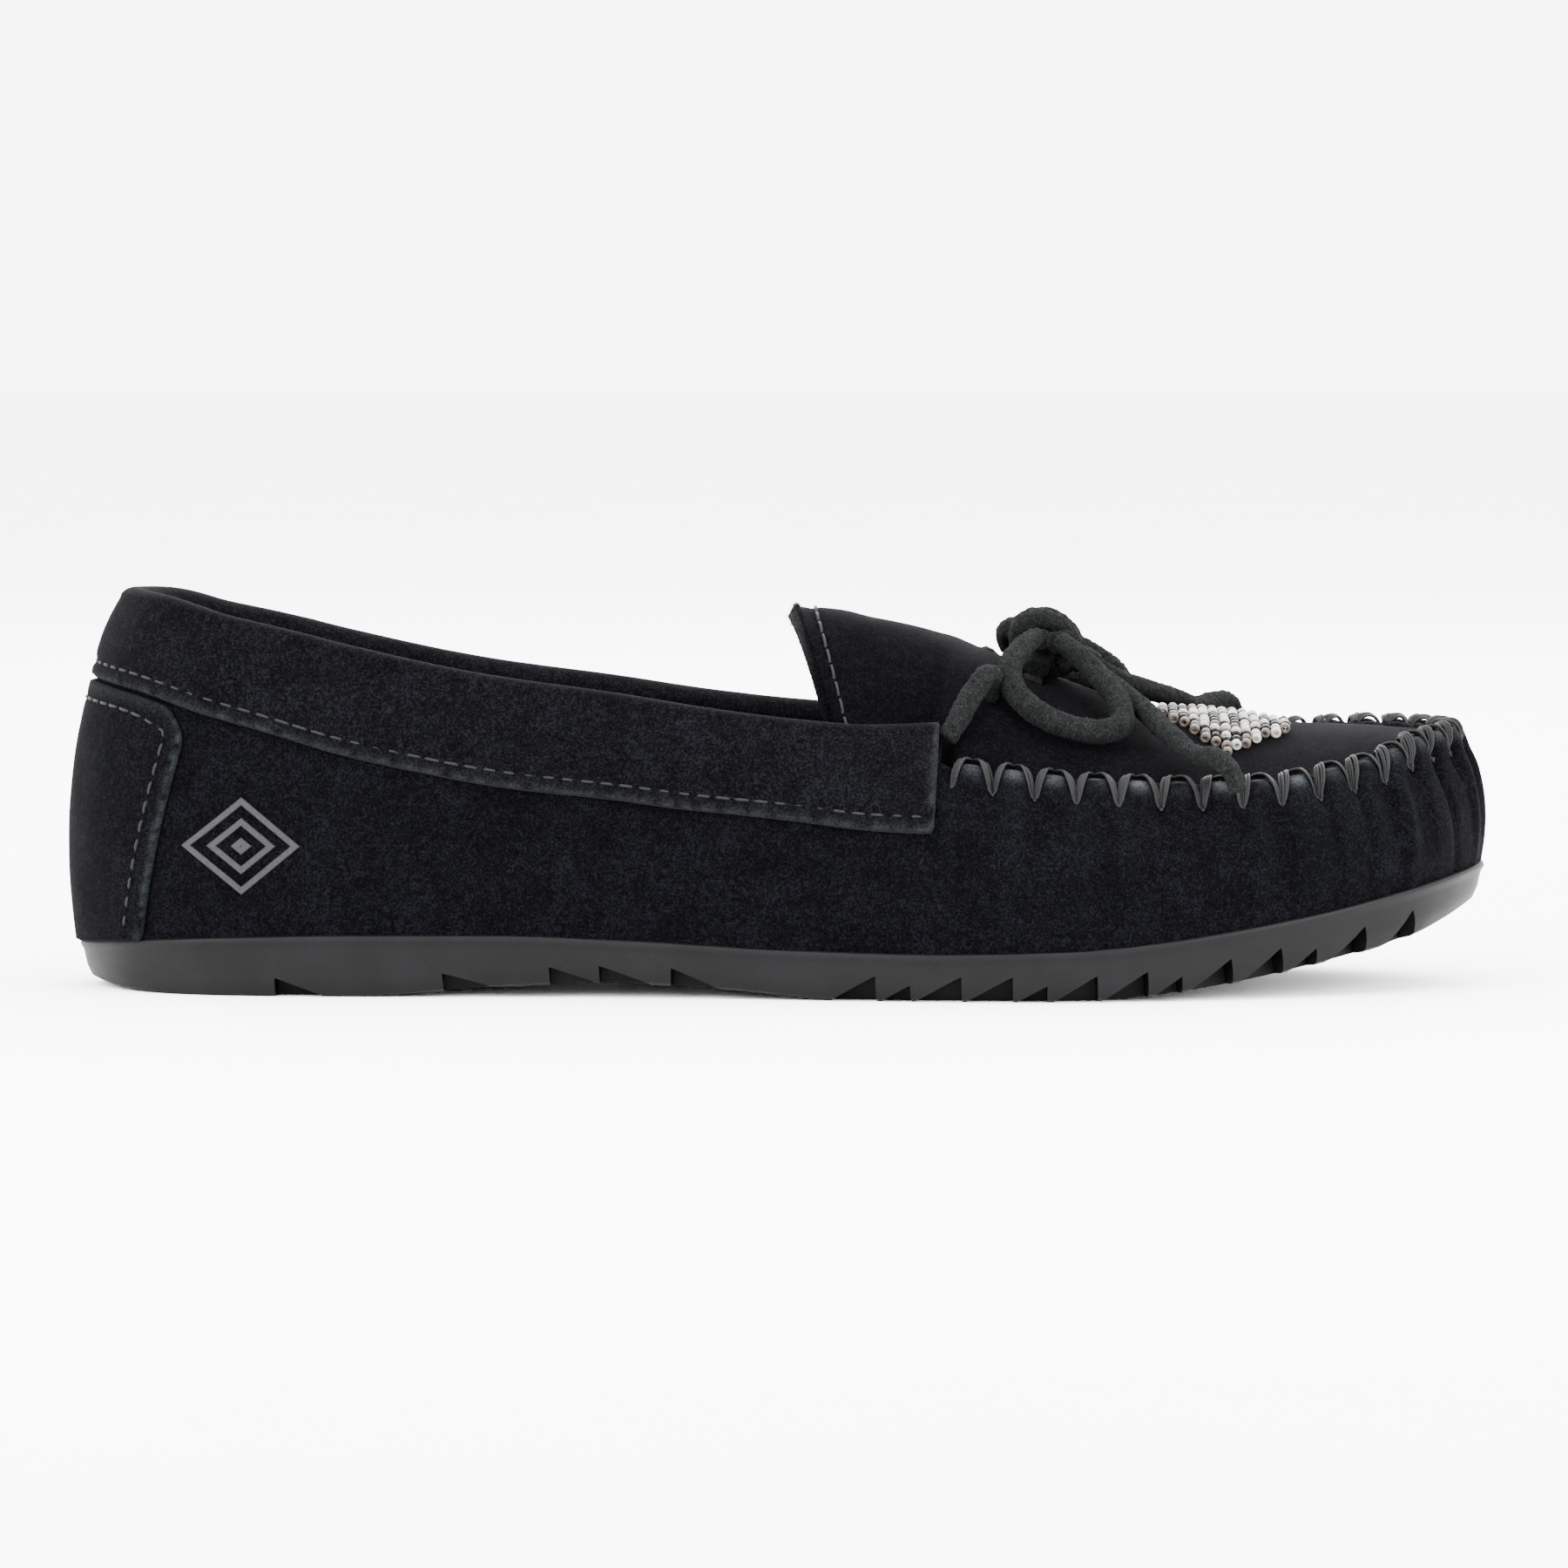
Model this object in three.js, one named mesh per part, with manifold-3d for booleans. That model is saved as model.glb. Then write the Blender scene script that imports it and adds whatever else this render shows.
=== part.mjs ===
// A woman's suede moccasin for the right foot, as its separate pieces: moulded rubber outsole,
// insole board, drop-in footbed, gathered wrapper, plug with tongue, folded collar that carries
// the lace, heel patch, counter, linings, threads, beaded trim and a tied leather lace.
// Millimetres. +X points to the toe, +Y to the inner side of the foot, +Z up; the origin is
// under the middle of the shoe, on the floor.
import * as THREE from "three";
import { mergeVertices } from "three/addons/utils/BufferGeometryUtils.js";
import Module from "manifold-3d";

const wasm = await Module();
wasm.setup();

// ---- Driving sizes -------------------------------------------------------------------------
const SOLE_LENGTH = 254;
const BALL_WIDTH = 87;
const SOLE_HEIGHT = 9; // top of the sole above the floor, under the ball
const TOE_SPRING = 13; // how much higher the sole's top is at the toe tip
const HEEL_HEIGHT = 72.5; // top line at the back of the heel
const SEAM_HEIGHT = 39; // lowest point of the gathered seam, on the outer side
const INNER_SEAM_RISE = 6; // the inner side of the seam stands this much higher
const TOE_SEAM_RISE = 8; // and its front end this much
const INSTEP_HEIGHT = 68.5; // top of the tongue
const COLLAR_WIDTH = 19;
const COLLAR_STANDS_OVER_SEAM = 6.5;
const SUEDE = 1.6; // wrapper thickness
const COLLAR_SUEDE = 1.5;
const PLUG_SUEDE = 1.5;
const LINING = 1.2;
const COUNTER = 1.2;
const LASTING_MARGIN = 9; // wrapper turned in under the board
const BOARD = 2;
const FOAM_HEEL = 5;
const FOAM_TOE = 3.4;
const SOCK_COVER = 0.8;
const LACE = 3.6; // diameter of the free lace
const LACE_FLAT = 3; // its thickness where the collar presses it flat
const LACE_HOLE = 6;
const KNOT = [12.4, 11.5, 10.4]; // length, width, height of the tied knot
const SEAM_THREAD = 1.6;
const TOP_THREAD = 0.8;
const BEAD = 2;
const GAP = 0.3; // between pieces that lie on each other
const FOOTBED_CLEARANCE = 1; // round a footbed that drops in
const TONGUE_CLEARANCE = 3.6; // between the tongue's edge and the collar
const STITCH_INSET = 2.8; // a row of stitches from the edge that it holds

const HALF = SOLE_LENGTH / 2;

// ---- Curves --------------------------------------------------------------------------------
// A smooth function through [x, y] points that never overshoots them (monotone cubic).
function smooth(points) {
  const n = points.length;
  const step = points.slice(1).map(([x, y], i) => (y - points[i][1]) / (x - points[i][0]));
  const slope = points.map((_, i) => {
    if (i === 0) return step[0];
    if (i === n - 1) return step[n - 2];
    if (step[i - 1] * step[i] <= 0) return 0;
    return (2 * step[i - 1] * step[i]) / (step[i - 1] + step[i]);
  });
  return (x) => {
    if (x <= points[0][0]) return points[0][1];
    if (x >= points[n - 1][0]) return points[n - 1][1];
    const i = points.findIndex((p) => p[0] > x) - 1;
    const [x0, y0] = points[i];
    const [x1, y1] = points[i + 1];
    const w = x1 - x0;
    const t = (x - x0) / w;
    const a = y0 * (1 + 2 * t) * (1 - t) ** 2 + y1 * t * t * (3 - 2 * t);
    return a + w * t * (1 - t) * (slope[i] * (1 - t) - slope[i + 1] * t);
  };
}

const scaled = (points, low, high) => smooth(points.map(([x, y]) => [x, low + y * (high - low)]));

// Plan of the sole: share of its length from the heel, share of the ball width from the centre
// line (negative on the outer side). It runs from the heel along the outer side to the toe.
const OUTLINE = [
  [0, 0], [0.025, -0.19], [0.08, -0.315], [0.16, -0.357], [0.3, -0.378], [0.42, -0.405],
  [0.52, -0.456], [0.6, -0.492], [0.68, -0.508], [0.76, -0.49], [0.84, -0.424], [0.91, -0.322],
  [0.965, -0.18], [1, 0.05], [0.984, 0.225], [0.94, 0.348], [0.875, 0.432], [0.8, 0.474],
  [0.72, 0.486], [0.65, 0.474], [0.57, 0.422], [0.48, 0.358], [0.38, 0.323], [0.27, 0.322],
  [0.16, 0.338], [0.075, 0.3], [0.022, 0.17],
];
const outline = new THREE.CatmullRomCurve3(
  OUTLINE.map(([u, v]) => new THREE.Vector3((u - 0.5) * SOLE_LENGTH, v * BALL_WIDTH, 0)),
  true,
);
outline.arcLengthDivisions = 600;

const wrap = (s) => ((s % 1) + 1) % 1;
const shareAt = (x) => x / SOLE_LENGTH + 0.5;

// The turn of the outline that reaches furthest along X, near a first guess.
function extreme(guess, sign) {
  let best = guess;
  for (let k = -200; k <= 200; k++) {
    const s = guess + k * 1e-4;
    if (sign * outline.getPointAt(wrap(s)).x > sign * outline.getPointAt(wrap(best)).x) best = s;
  }
  return best;
}
const HEEL_S = extreme(0, -1);
const TOE_S = extreme(0.5, 1);

// Where round the outline a share of the length lies, on one side.
function roundAt(u, side) {
  const x = (u - 0.5) * SOLE_LENGTH;
  let low = side === "outer" ? HEEL_S : HEEL_S + 1;
  let high = TOE_S;
  for (let k = 0; k < 40; k++) {
    const mid = (low + high) / 2;
    if (outline.getPointAt(wrap(mid)).x < x) low = mid;
    else high = mid;
  }
  return (low + high) / 2;
}

// Plan point, inward direction, share of the length and side, at s round the outline.
function station(s) {
  const p = outline.getPointAt(wrap(s));
  const t = outline.getTangentAt(wrap(s));
  const side = wrap(s - HEEL_S) + HEEL_S < TOE_S ? "outer" : "inner";
  return { p, inward: new THREE.Vector2(-t.y, t.x), u: shareAt(p.x), side };
}

// Every piece has its points at the same turns of the outline, so pieces that lie on each other
// keep their gap between those turns too. Ring numbers run from the heel (0) along the outer side
// to the toe and on along the inner side, and backwards from the heel along the inner side.
const RING = 30;
const ringShare = (k) => (1 - Math.cos((Math.PI * k) / RING)) / 2;
const ringTurns = new Map();
function ring(k) {
  if (!ringTurns.has(k)) {
    const side = k >= 0 && k <= RING ? "outer" : "inner";
    let s = roundAt(ringShare(Math.min(Math.abs(k), 2 * RING - k)), side);
    if (k < 0) s -= 1;
    ringTurns.set(k, s);
  }
  return ringTurns.get(k);
}
const rings = (from, to) => Array.from({ length: to - from + 1 }, (_, k) => ring(from + k));

// ---- Heights, by share of the length from the heel -------------------------------------------
const soleTop = smooth(
  [
    [0, -0.8], [0.03, 0.3], [0.1, 1.6], [0.2, 2.2], [0.3, 2.3], [0.4, 1.4], [0.5, 0.2], [0.6, -0.3],
    [0.7, 0.3],
  ]
    .map(([u, rise]) => [u, SOLE_HEIGHT + rise])
    .concat([[0.76, 0.12], [0.82, 0.28], [0.88, 0.48], [0.94, 0.73], [1, 1]]
      .map(([u, share]) => [u, SOLE_HEIGHT + share * TOE_SPRING])),
);
const soleBottom = smooth([
  [0, 1.6], [0.035, 0.3], [0.06, 0], [0.2, 0], [0.3, 1.8], [0.38, 2.5], [0.46, 1.6], [0.55, 0],
  [0.7, 0], [0.76, 0.07 * TOE_SPRING], [0.82, 0.23 * TOE_SPRING], [0.88, 0.46 * TOE_SPRING],
  [0.94, 0.73 * TOE_SPRING], [1, 1.2 * TOE_SPRING],
]);

const SEAM_FROM = 0.612; // the gathered seam starts here, in front of the collar
const seamStart = SEAM_HEIGHT + 4;
const collarFront = seamStart + COLLAR_STANDS_OVER_SEAM;

const collarTop = scaled(
  [
    [0, 1], [0.035, 0.97], [0.09, 0.85], [0.13, 0.765], [0.19, 0.61], [0.287, 0.385],
    [0.38, 0.24], [0.445, 0.125], [0.508, 0.04], [0.556, 0], [0.62, 0.02],
  ],
  collarFront, HEEL_HEIGHT,
);
const collarWidth = smooth([
  [0, 0.86], [0.08, 0.95], [0.2, 1.04], [0.3, 1.03], [0.42, 0.98], [0.5, 0.94], [0.6, 1.02],
].map(([u, share]) => [u, share * COLLAR_WIDTH]));
const collarFoot = (u) => collarTop(u) - collarWidth(u);

// Top of the wall that every side piece follows: the collar's line behind, the seam in front.
const seamRise = {
  outer: smooth([
    [0.612, 4], [0.66, 2.5], [0.72, 0.9], [0.82, 0], [0.86, 0.3], [0.9, 1.6], [0.94, 3.6],
    [0.975, 7], [1, TOE_SEAM_RISE],
  ]),
  inner: smooth([
    [0.612, 4 + INNER_SEAM_RISE * 0.5], [0.66, 1.5 + INNER_SEAM_RISE * 0.8],
    [0.72, INNER_SEAM_RISE], [0.86, INNER_SEAM_RISE + 0.6], [0.94, INNER_SEAM_RISE + 1.8],
    [1, TOE_SEAM_RISE],
  ]),
};
const BLEND_FROM = 0.45;
function wallTop(u, side) {
  const seam = SEAM_HEIGHT + seamRise[side](u);
  if (u >= SEAM_FROM) return seam;
  const t = THREE.MathUtils.smoothstep(u, BLEND_FROM, SEAM_FROM);
  return collarTop(u) * (1 - t) + seam * t;
}
// How far the wall leans in at that top, and how far it swells out below it.
const topLean = {
  outer: smooth([
    [0, 9.5], [0.1, 8], [0.25, 6], [0.45, 6], [0.6, 8.5], [0.75, 9.5], [0.9, 9], [0.97, 7], [1, 5.3],
  ]),
  inner: smooth([
    [0, 9.5], [0.1, 8], [0.25, 5.5], [0.45, 4.5], [0.6, 6], [0.75, 6], [0.9, 6.5], [1, 5.3],
  ]),
};
const swell = smooth([[0, 2], [0.15, 1.2], [0.4, 0.6], [0.7, 1], [1, 1.1]]);
const LEAN_POWER = 2.5;

// Above the wall's top, where the collar stands, it goes on at the slope it has there.
function lean(st, z) {
  const foot = soleTop(st.u);
  const r = (z - foot) / (wallTop(st.u, st.side) - foot);
  const top = topLean[st.side](st.u);
  if (r > 1) return top + (r - 1) * (LEAN_POWER * top + 4 * swell(st.u));
  return top * Math.max(r, 0) ** LEAN_POWER - swell(st.u) * 4 * r * (1 - r);
}

// A point of the wall, depth inside its outer face (negative is outside it).
function wall(s, z, depth = 0) {
  const st = station(s);
  const slope = (lean(st, z + 0.2) - lean(st, z - 0.2)) / 0.4;
  const k = Math.hypot(1, slope);
  const e = lean(st, z) + depth / k;
  return new THREE.Vector3(st.p.x + st.inward.x * e, st.p.y + st.inward.y * e,
    z - (depth * slope) / k);
}

// ---- Building solids -------------------------------------------------------------------------
// A closed geometry from points and triangles: merged, without collapsed triangles, facing out.
function closed(points, triangles) {
  const flat = new THREE.BufferGeometry();
  flat.setAttribute("position", new THREE.Float32BufferAttribute(
    triangles.flat().flatMap((i) => points[i].toArray()), 3));
  const merged = mergeVertices(flat, 2e-3);
  const index = merged.index.array;
  const kept = [];
  for (let i = 0; i < index.length; i += 3) {
    const [a, b, c] = [index[i], index[i + 1], index[i + 2]];
    if (a !== b && b !== c && c !== a) kept.push(a, b, c);
  }
  const at = (i) => new THREE.Vector3().fromBufferAttribute(merged.attributes.position, i);
  let volume = 0;
  for (let i = 0; i < kept.length; i += 3) {
    volume += at(kept[i]).dot(at(kept[i + 1]).cross(at(kept[i + 2])));
  }
  if (volume < 0) {
    for (let i = 0; i < kept.length; i += 3) [kept[i + 1], kept[i + 2]] = [kept[i + 2], kept[i + 1]];
  }
  merged.setIndex(kept);
  return merged;
}

// A sheet with thickness: two faces, each a grid of points, joined round their rim.
function sheet(rows, columns, face, back) {
  const points = [];
  const triangles = [];
  for (const side of [face, back]) {
    for (let i = 0; i <= rows; i++) {
      for (let j = 0; j <= columns; j++) points.push(side(i, j));
    }
  }
  const half = (rows + 1) * (columns + 1);
  const id = (i, j, k = 0) => k * half + i * (columns + 1) + j;
  const quad = (a, b, c, d) => triangles.push([a, b, c], [a, c, d]);
  for (let i = 0; i < rows; i++) {
    for (let j = 0; j < columns; j++) {
      quad(id(i, j), id(i + 1, j), id(i + 1, j + 1), id(i, j + 1));
      quad(id(i, j, 1), id(i, j + 1, 1), id(i + 1, j + 1, 1), id(i + 1, j, 1));
    }
    quad(id(i, 0), id(i, 0, 1), id(i + 1, 0, 1), id(i + 1, 0));
    quad(id(i, columns), id(i + 1, columns), id(i + 1, columns, 1), id(i, columns, 1));
  }
  for (let j = 0; j < columns; j++) {
    quad(id(0, j), id(0, j + 1), id(0, j + 1, 1), id(0, j, 1));
    quad(id(rows, j), id(rows, j, 1), id(rows, j + 1, 1), id(rows, j + 1));
  }
  return closed(points, triangles);
}

// A round tube along a curve.
function tube(curve, diameter, steps, sides) {
  const section = new THREE.Shape();
  for (let k = 0; k < sides; k++) {
    const a = (2 * Math.PI * k) / sides;
    const [x, y] = [(Math.cos(a) * diameter) / 2, (Math.sin(a) * diameter) / 2];
    if (k === 0) section.moveTo(x, y);
    else section.lineTo(x, y);
  }
  section.closePath();
  return new THREE.ExtrudeGeometry(section, { steps, bevelEnabled: false, extrudePath: curve });
}

// A round cord that lies along the wall: at each turn, `place` gives its height and depth.
function cordOnWall(turns, place, diameter, sides) {
  const points = [];
  const triangles = [];
  turns.forEach((s) => {
    const { z, depth } = place(station(s));
    for (let k = 0; k < sides; k++) {
      const a = (2 * Math.PI * k) / sides;
      points.push(wall(s, z + (Math.sin(a) * diameter) / 2, depth + (Math.cos(a) * diameter) / 2));
    }
  });
  const id = (i, k) => i * sides + (k % sides);
  const end = turns.length - 1;
  for (let k = 0; k < sides; k++) {
    for (let i = 0; i < end; i++) {
      triangles.push([id(i, k), id(i, k + 1), id(i + 1, k + 1)]);
      triangles.push([id(i, k), id(i + 1, k + 1), id(i + 1, k)]);
    }
    if (k > 1) {
      triangles.push([id(0, 0), id(0, k), id(0, k - 1)]);
      triangles.push([id(end, 0), id(end, k - 1), id(end, k)]);
    }
  }
  return closed(points, triangles);
}

const through = (points) => new THREE.CatmullRomCurve3(points);
const spread = (n, from, to, make) =>
  Array.from({ length: n + 1 }, (_, k) => make(from + ((to - from) * k) / n));

function solid(geometry) {
  const bare = geometry.index ? geometry.toNonIndexed() : geometry.clone();
  bare.deleteAttribute("normal");
  bare.deleteAttribute("uv");
  const merged = mergeVertices(bare, 1e-3);
  return new wasm.Manifold(new wasm.Mesh({
    numProp: 3,
    vertProperties: merged.attributes.position.array,
    triVerts: new Uint32Array(merged.index.array),
  }));
}

function cut(geometry, cutters) {
  let left = solid(geometry);
  for (const cutter of cutters) left = left.subtract(solid(cutter));
  const mesh = left.getMesh();
  const made = new THREE.BufferGeometry();
  made.setAttribute("position", new THREE.BufferAttribute(mesh.vertProperties, 3));
  made.setIndex(new THREE.BufferAttribute(mesh.triVerts, 1));
  return made;
}

const object = new THREE.Group();
function add(name, geometry, colour, roughness, metalness = 0) {
  const material = new THREE.MeshStandardMaterial({ color: colour, roughness, metalness });
  const mesh = new THREE.Mesh(geometry, material);
  mesh.name = name;
  object.add(mesh);
}
const BLACK_SUEDE = 0x1d1d21;
const LACE_SUEDE = 0x323433;
const THREAD_BLACK = 0x2b2b2c;
const RUBBER = 0x3f3f42;

// ---- Bottom pieces: slabs that fill the outline, inset from it -------------------------------
function plan(u, side, inset) {
  const { p, inward } = station(roundAt(u, side));
  return new THREE.Vector2(p.x + inward.x * inset, p.y + inward.y * inset);
}

const ACROSS = 1; // a slab's strips from side to side
function slab(inset, bottom, top) {
  const face = (height) => (i, j) => {
    const u = ringShare(i);
    const p = plan(u, "outer", inset(u)).lerp(plan(u, "inner", inset(u)), j / ACROSS);
    return new THREE.Vector3(p.x, p.y, height(shareAt(p.x)));
  };
  return sheet(RING, ACROSS, face(top), face(bottom));
}

const marginTop = (u) => soleTop(u) + GAP + SUEDE;
const boardTop = (u) => marginTop(u) + GAP + BOARD;
const foamTop = (u) => boardTop(u) + GAP + FOAM_HEEL
  + (FOAM_TOE - FOAM_HEEL) * THREE.MathUtils.smoothstep(u, 0.4, 0.75);
const coverTop = (u) => foamTop(u) + GAP + SOCK_COVER;

// The counter stiffens the heel between the wrapper and the lining, which moves in round it.
const COUNTER_TO = 0.27;
const counterDepth = SUEDE + GAP;
const counterTop = (u) => collarFoot(u) - 6;
const liningDepth = (u) => counterDepth
  + (COUNTER + GAP) * (1 - THREE.MathUtils.smoothstep(u, COUNTER_TO, COUNTER_TO + 0.06));

const SOLE_EDGE = 2.6; // how far the tread's edge is drawn in
const SIDE_KNEE = 3; // height of the side's turn over the tread
const NOTCH_DEPTH = 4.5;

function outsoleBlank() {
  const side = [[SOLE_EDGE, soleBottom], [0.2, (u) => soleBottom(u) + SIDE_KNEE], [0, soleTop]];
  const last = 2 * side.length - 2 + ACROSS;
  const at = (levels) => (i, j) => {
    const [inset, height] = levels[Math.min(j, last - j, side.length - 1)];
    const share = THREE.MathUtils.clamp((j - side.length + 1) / ACROSS, 0, 1);
    const u = ringShare(i);
    const p = plan(u, "outer", inset).lerp(plan(u, "inner", inset), share);
    return new THREE.Vector3(p.x, p.y, height(shareAt(p.x)));
  };
  return sheet(RING, last, at(side), at(side.map(() => side[0])));
}

// One saw-tooth notch in the sole's edge: a wedge, upright on the side it faces.
function notch(u, side, long, high, facesToe) {
  const s = roundAt(u, side);
  const { p, inward } = station(s);
  const profile = new THREE.Shape([
    new THREE.Vector2(0, -2), new THREE.Vector2(0, high), new THREE.Vector2(-long, 0),
    new THREE.Vector2(-long, -2),
  ]);
  const wedge = new THREE.ExtrudeGeometry(profile, { depth: NOTCH_DEPTH + 2, bevelEnabled: false });
  const along = new THREE.Vector3(inward.y, -inward.x, 0);
  if (along.x < 0) along.negate();
  if (!facesToe) along.negate();
  const pitch = Math.atan((soleBottom(u + 0.01) - soleBottom(u - 0.01)) / (0.02 * SOLE_LENGTH));
  along.z = (facesToe ? 1 : -1) * Math.tan(pitch);
  along.normalize();
  const into = new THREE.Vector3(inward.x, inward.y, 0);
  const up = new THREE.Vector3().crossVectors(into, along);
  if (up.z < 0) up.negate();
  const place = new THREE.Matrix4().makeBasis(along, up, into);
  place.setPosition(p.x - inward.x * 2, p.y - inward.y * 2, soleBottom(u));
  wedge.applyMatrix4(place);
  const merged = mergeVertices(wedge);
  const points = Array.from({ length: merged.attributes.position.count },
    (_, i) => new THREE.Vector3().fromBufferAttribute(merged.attributes.position, i));
  const index = Array.from(merged.index.array);
  return closed(points, index.flatMap((_, i) => (i % 3 ? [] : [index.slice(i, i + 3)])));
}

function outsole() {
  const notches = [];
  for (const side of ["outer", "inner"]) {
    for (let k = 0, u = 0.565; u < 0.955; k++) {
      const long = k % 3 === 1 ? 5.5 : 8.5;
      notches.push(notch(u, side, long, long * 0.55, true));
      u += (k % 3 === 0 ? 6.2 : 9.2) / SOLE_LENGTH;
    }
    for (const u of [0.14, 0.26, 0.335, 0.37, 0.42]) notches.push(notch(u, side, 9, 3.4, false));
  }
  return cut(outsoleBlank(), notches);
}

function footInset(u) {
  return liningDepth(u) + LINING + FOOTBED_CLEARANCE;
}

function bottom() {
  add("outsole", outsole(), RUBBER, 0.55);
  const margin = () => LASTING_MARGIN + GAP;
  add("bottom_filler", slab(margin, (u) => soleTop(u) + GAP, marginTop), 0x8a6f4d, 0.9);
  add("insole_board", slab(() => SUEDE + 2 * GAP, (u) => marginTop(u) + GAP, boardTop), 0xb8a98c, 0.9);
  add("footbed_foam", slab(footInset, (u) => boardTop(u) + GAP, foamTop), 0x555555, 0.95);
  add("footbed_cover", slab(footInset, (u) => foamTop(u) + GAP, coverTop), 0x26262a, 0.95);
}

// ---- Side pieces: sheets that follow the wall ------------------------------------------------
const BACK_SEAM = 0.0008; // half the wrapper's open back seam, as a share of the way round
const WALL_STEPS = 8;
const CORNER = 1.2; // the wrapper turns under the board within this

function wrapper() {
  const turns = [HEEL_S + BACK_SEAM, ...rings(1, 2 * RING - 1), HEEL_S + 1 - BACK_SEAM];
  const section = (s) => {
    const { p, inward, u, side } = station(s);
    const top = u < SEAM_FROM ? Math.min(wallTop(u, side), collarTop(u) - laceRoom) : wallTop(u, side);
    const flat = (inset, above) => {
      const q = new THREE.Vector2(p.x + inward.x * inset, p.y + inward.y * inset);
      return new THREE.Vector3(q.x, q.y, soleTop(shareAt(q.x)) + GAP + above);
    };
    const foot = soleTop(u) + GAP + CORNER;
    const rise = (k) => foot + ((top - foot) * k) / WALL_STEPS;
    const steps = Array.from({ length: WALL_STEPS + 1 }, (_, k) => k);
    return {
      face: [flat(LASTING_MARGIN, 0), flat(CORNER, 0), ...steps.map((k) => wall(s, rise(k)))],
      back: [flat(LASTING_MARGIN, SUEDE), flat(SUEDE + 0.2, SUEDE),
        ...steps.map((k) => wall(s, Math.max(rise(k), foot + SUEDE), SUEDE))],
    };
  };
  const sections = turns.map(section);
  return sheet(turns.length - 1, WALL_STEPS + 2,
    (i, j) => sections[i].face[j], (i, j) => sections[i].back[j]);
}

// The collar folds over the top line; the lace lies in the fold, above the wrapper's edge.
const COLLAR_END = 17; // ring number of its front ends
const collarInner = SUEDE + GAP + LINING + 2 * GAP; // depth of its inner leg
const laceRoom = COLLAR_SUEDE + GAP + LACE_FLAT + GAP; // wrapper's edge below the top line
const INNER_LEG = laceRoom + 4;
const FOLD_FLATNESS = 0.8;
const FOLD_ANGLES = [0, 45, 90, 135, 180];
const COLLAR_LEVELS = [0, 0.25, 0.5, 0.75]; // up its outer leg

function collar() {
  const turns = rings(-COLLAR_END, COLLAR_END);
  const middle = (collarInner - GAP) / 2;
  const span = (collarInner + GAP) / 2;
  const section = (s) => {
    const { u } = station(s);
    const top = collarTop(u);
    const foot = collarFoot(u);
    const centre = top - (span + COLLAR_SUEDE) * FOLD_FLATNESS;
    const fold = (angle, r) => {
      const a = THREE.MathUtils.degToRad(angle);
      return wall(s, centre + Math.sin(a) * r * FOLD_FLATNESS, middle - Math.cos(a) * r);
    };
    const legs = (thick) => [
      ...COLLAR_LEVELS.map((k) => wall(s, foot + (centre - foot) * k, -GAP - thick)),
      ...FOLD_ANGLES.map((angle) => fold(angle, span + thick)),
      wall(s, top - INNER_LEG, collarInner + thick),
    ];
    return { face: legs(COLLAR_SUEDE), back: legs(0) };
  };
  const sections = turns.map(section);
  return sheet(turns.length - 1, COLLAR_LEVELS.length + FOLD_ANGLES.length,
    (i, j) => sections[i].face[j], (i, j) => sections[i].back[j]);
}

const PATCH_TO = 0.073; // front of the heel patch at its top, and at the sole
const PATCH_FOOT = 0.046;
const PATCH_GAP = 1.4; // below the collar
const PATCH_SUEDE = 1.3;
const PATCH_RINGS = 4; // whole ring numbers that it covers each side
const PATCH_LEVELS = [0, 0.15, 0.3, 0.45, 0.6, 0.75, 0.85, 0.93, 0.97, 1];

// The patch's front edge: a slanted line with a rounded upper corner, as a share of the length.
function patchFront(up) {
  const line = THREE.MathUtils.lerp(PATCH_FOOT, PATCH_TO, Math.min(up / 0.85, 1));
  return line - 0.012 * Math.max(0, (up - 0.88) / 0.12) ** 2;
}
function patchPoint(s, up, depth) {
  const { u } = station(s);
  const foot = soleTop(u) + GAP;
  return wall(s, foot + (collarFoot(u) - PATCH_GAP - foot) * up, depth);
}
const frontTurn = (side, share) => roundAt(share, side) - (side === "inner" ? 1 : 0);

function heelPatch() {
  const turns = rings(-PATCH_RINGS, PATCH_RINGS);
  const at = (depth) => (i, j) => {
    const up = PATCH_LEVELS[j];
    if (i === 0) return patchPoint(frontTurn("inner", patchFront(up)), up, depth);
    if (i > turns.length) return patchPoint(frontTurn("outer", patchFront(up)), up, depth);
    return patchPoint(turns[i - 1], up, depth);
  };
  return sheet(turns.length + 1, PATCH_LEVELS.length - 1, at(-GAP - PATCH_SUEDE), at(-GAP));
}

// A sheet that follows the wall over the given turns.
function sideSheet(turns, columns, bottomOf, topOf, depthOf, thick) {
  const at = (extra) => (i, j) => {
    const s = turns[i];
    const { u, side } = station(s);
    const low = bottomOf(shareAt(wall(s, bottomOf(u), depthOf(u, bottomOf(u))).x));
    const z = low + ((topOf(u, side) - low) * j) / columns;
    return wall(s, z, depthOf(u, z) + extra);
  };
  return sheet(turns.length - 1, columns, at(0), at(thick));
}

const above = (u) => boardTop(u) + 2 * GAP;
const COUNTER_END = 10; // ring number of the counter's front ends
const LINING_JOIN = 17; // quarter lining and vamp lining meet here
const LINING_OPEN = 0.003;

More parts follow.
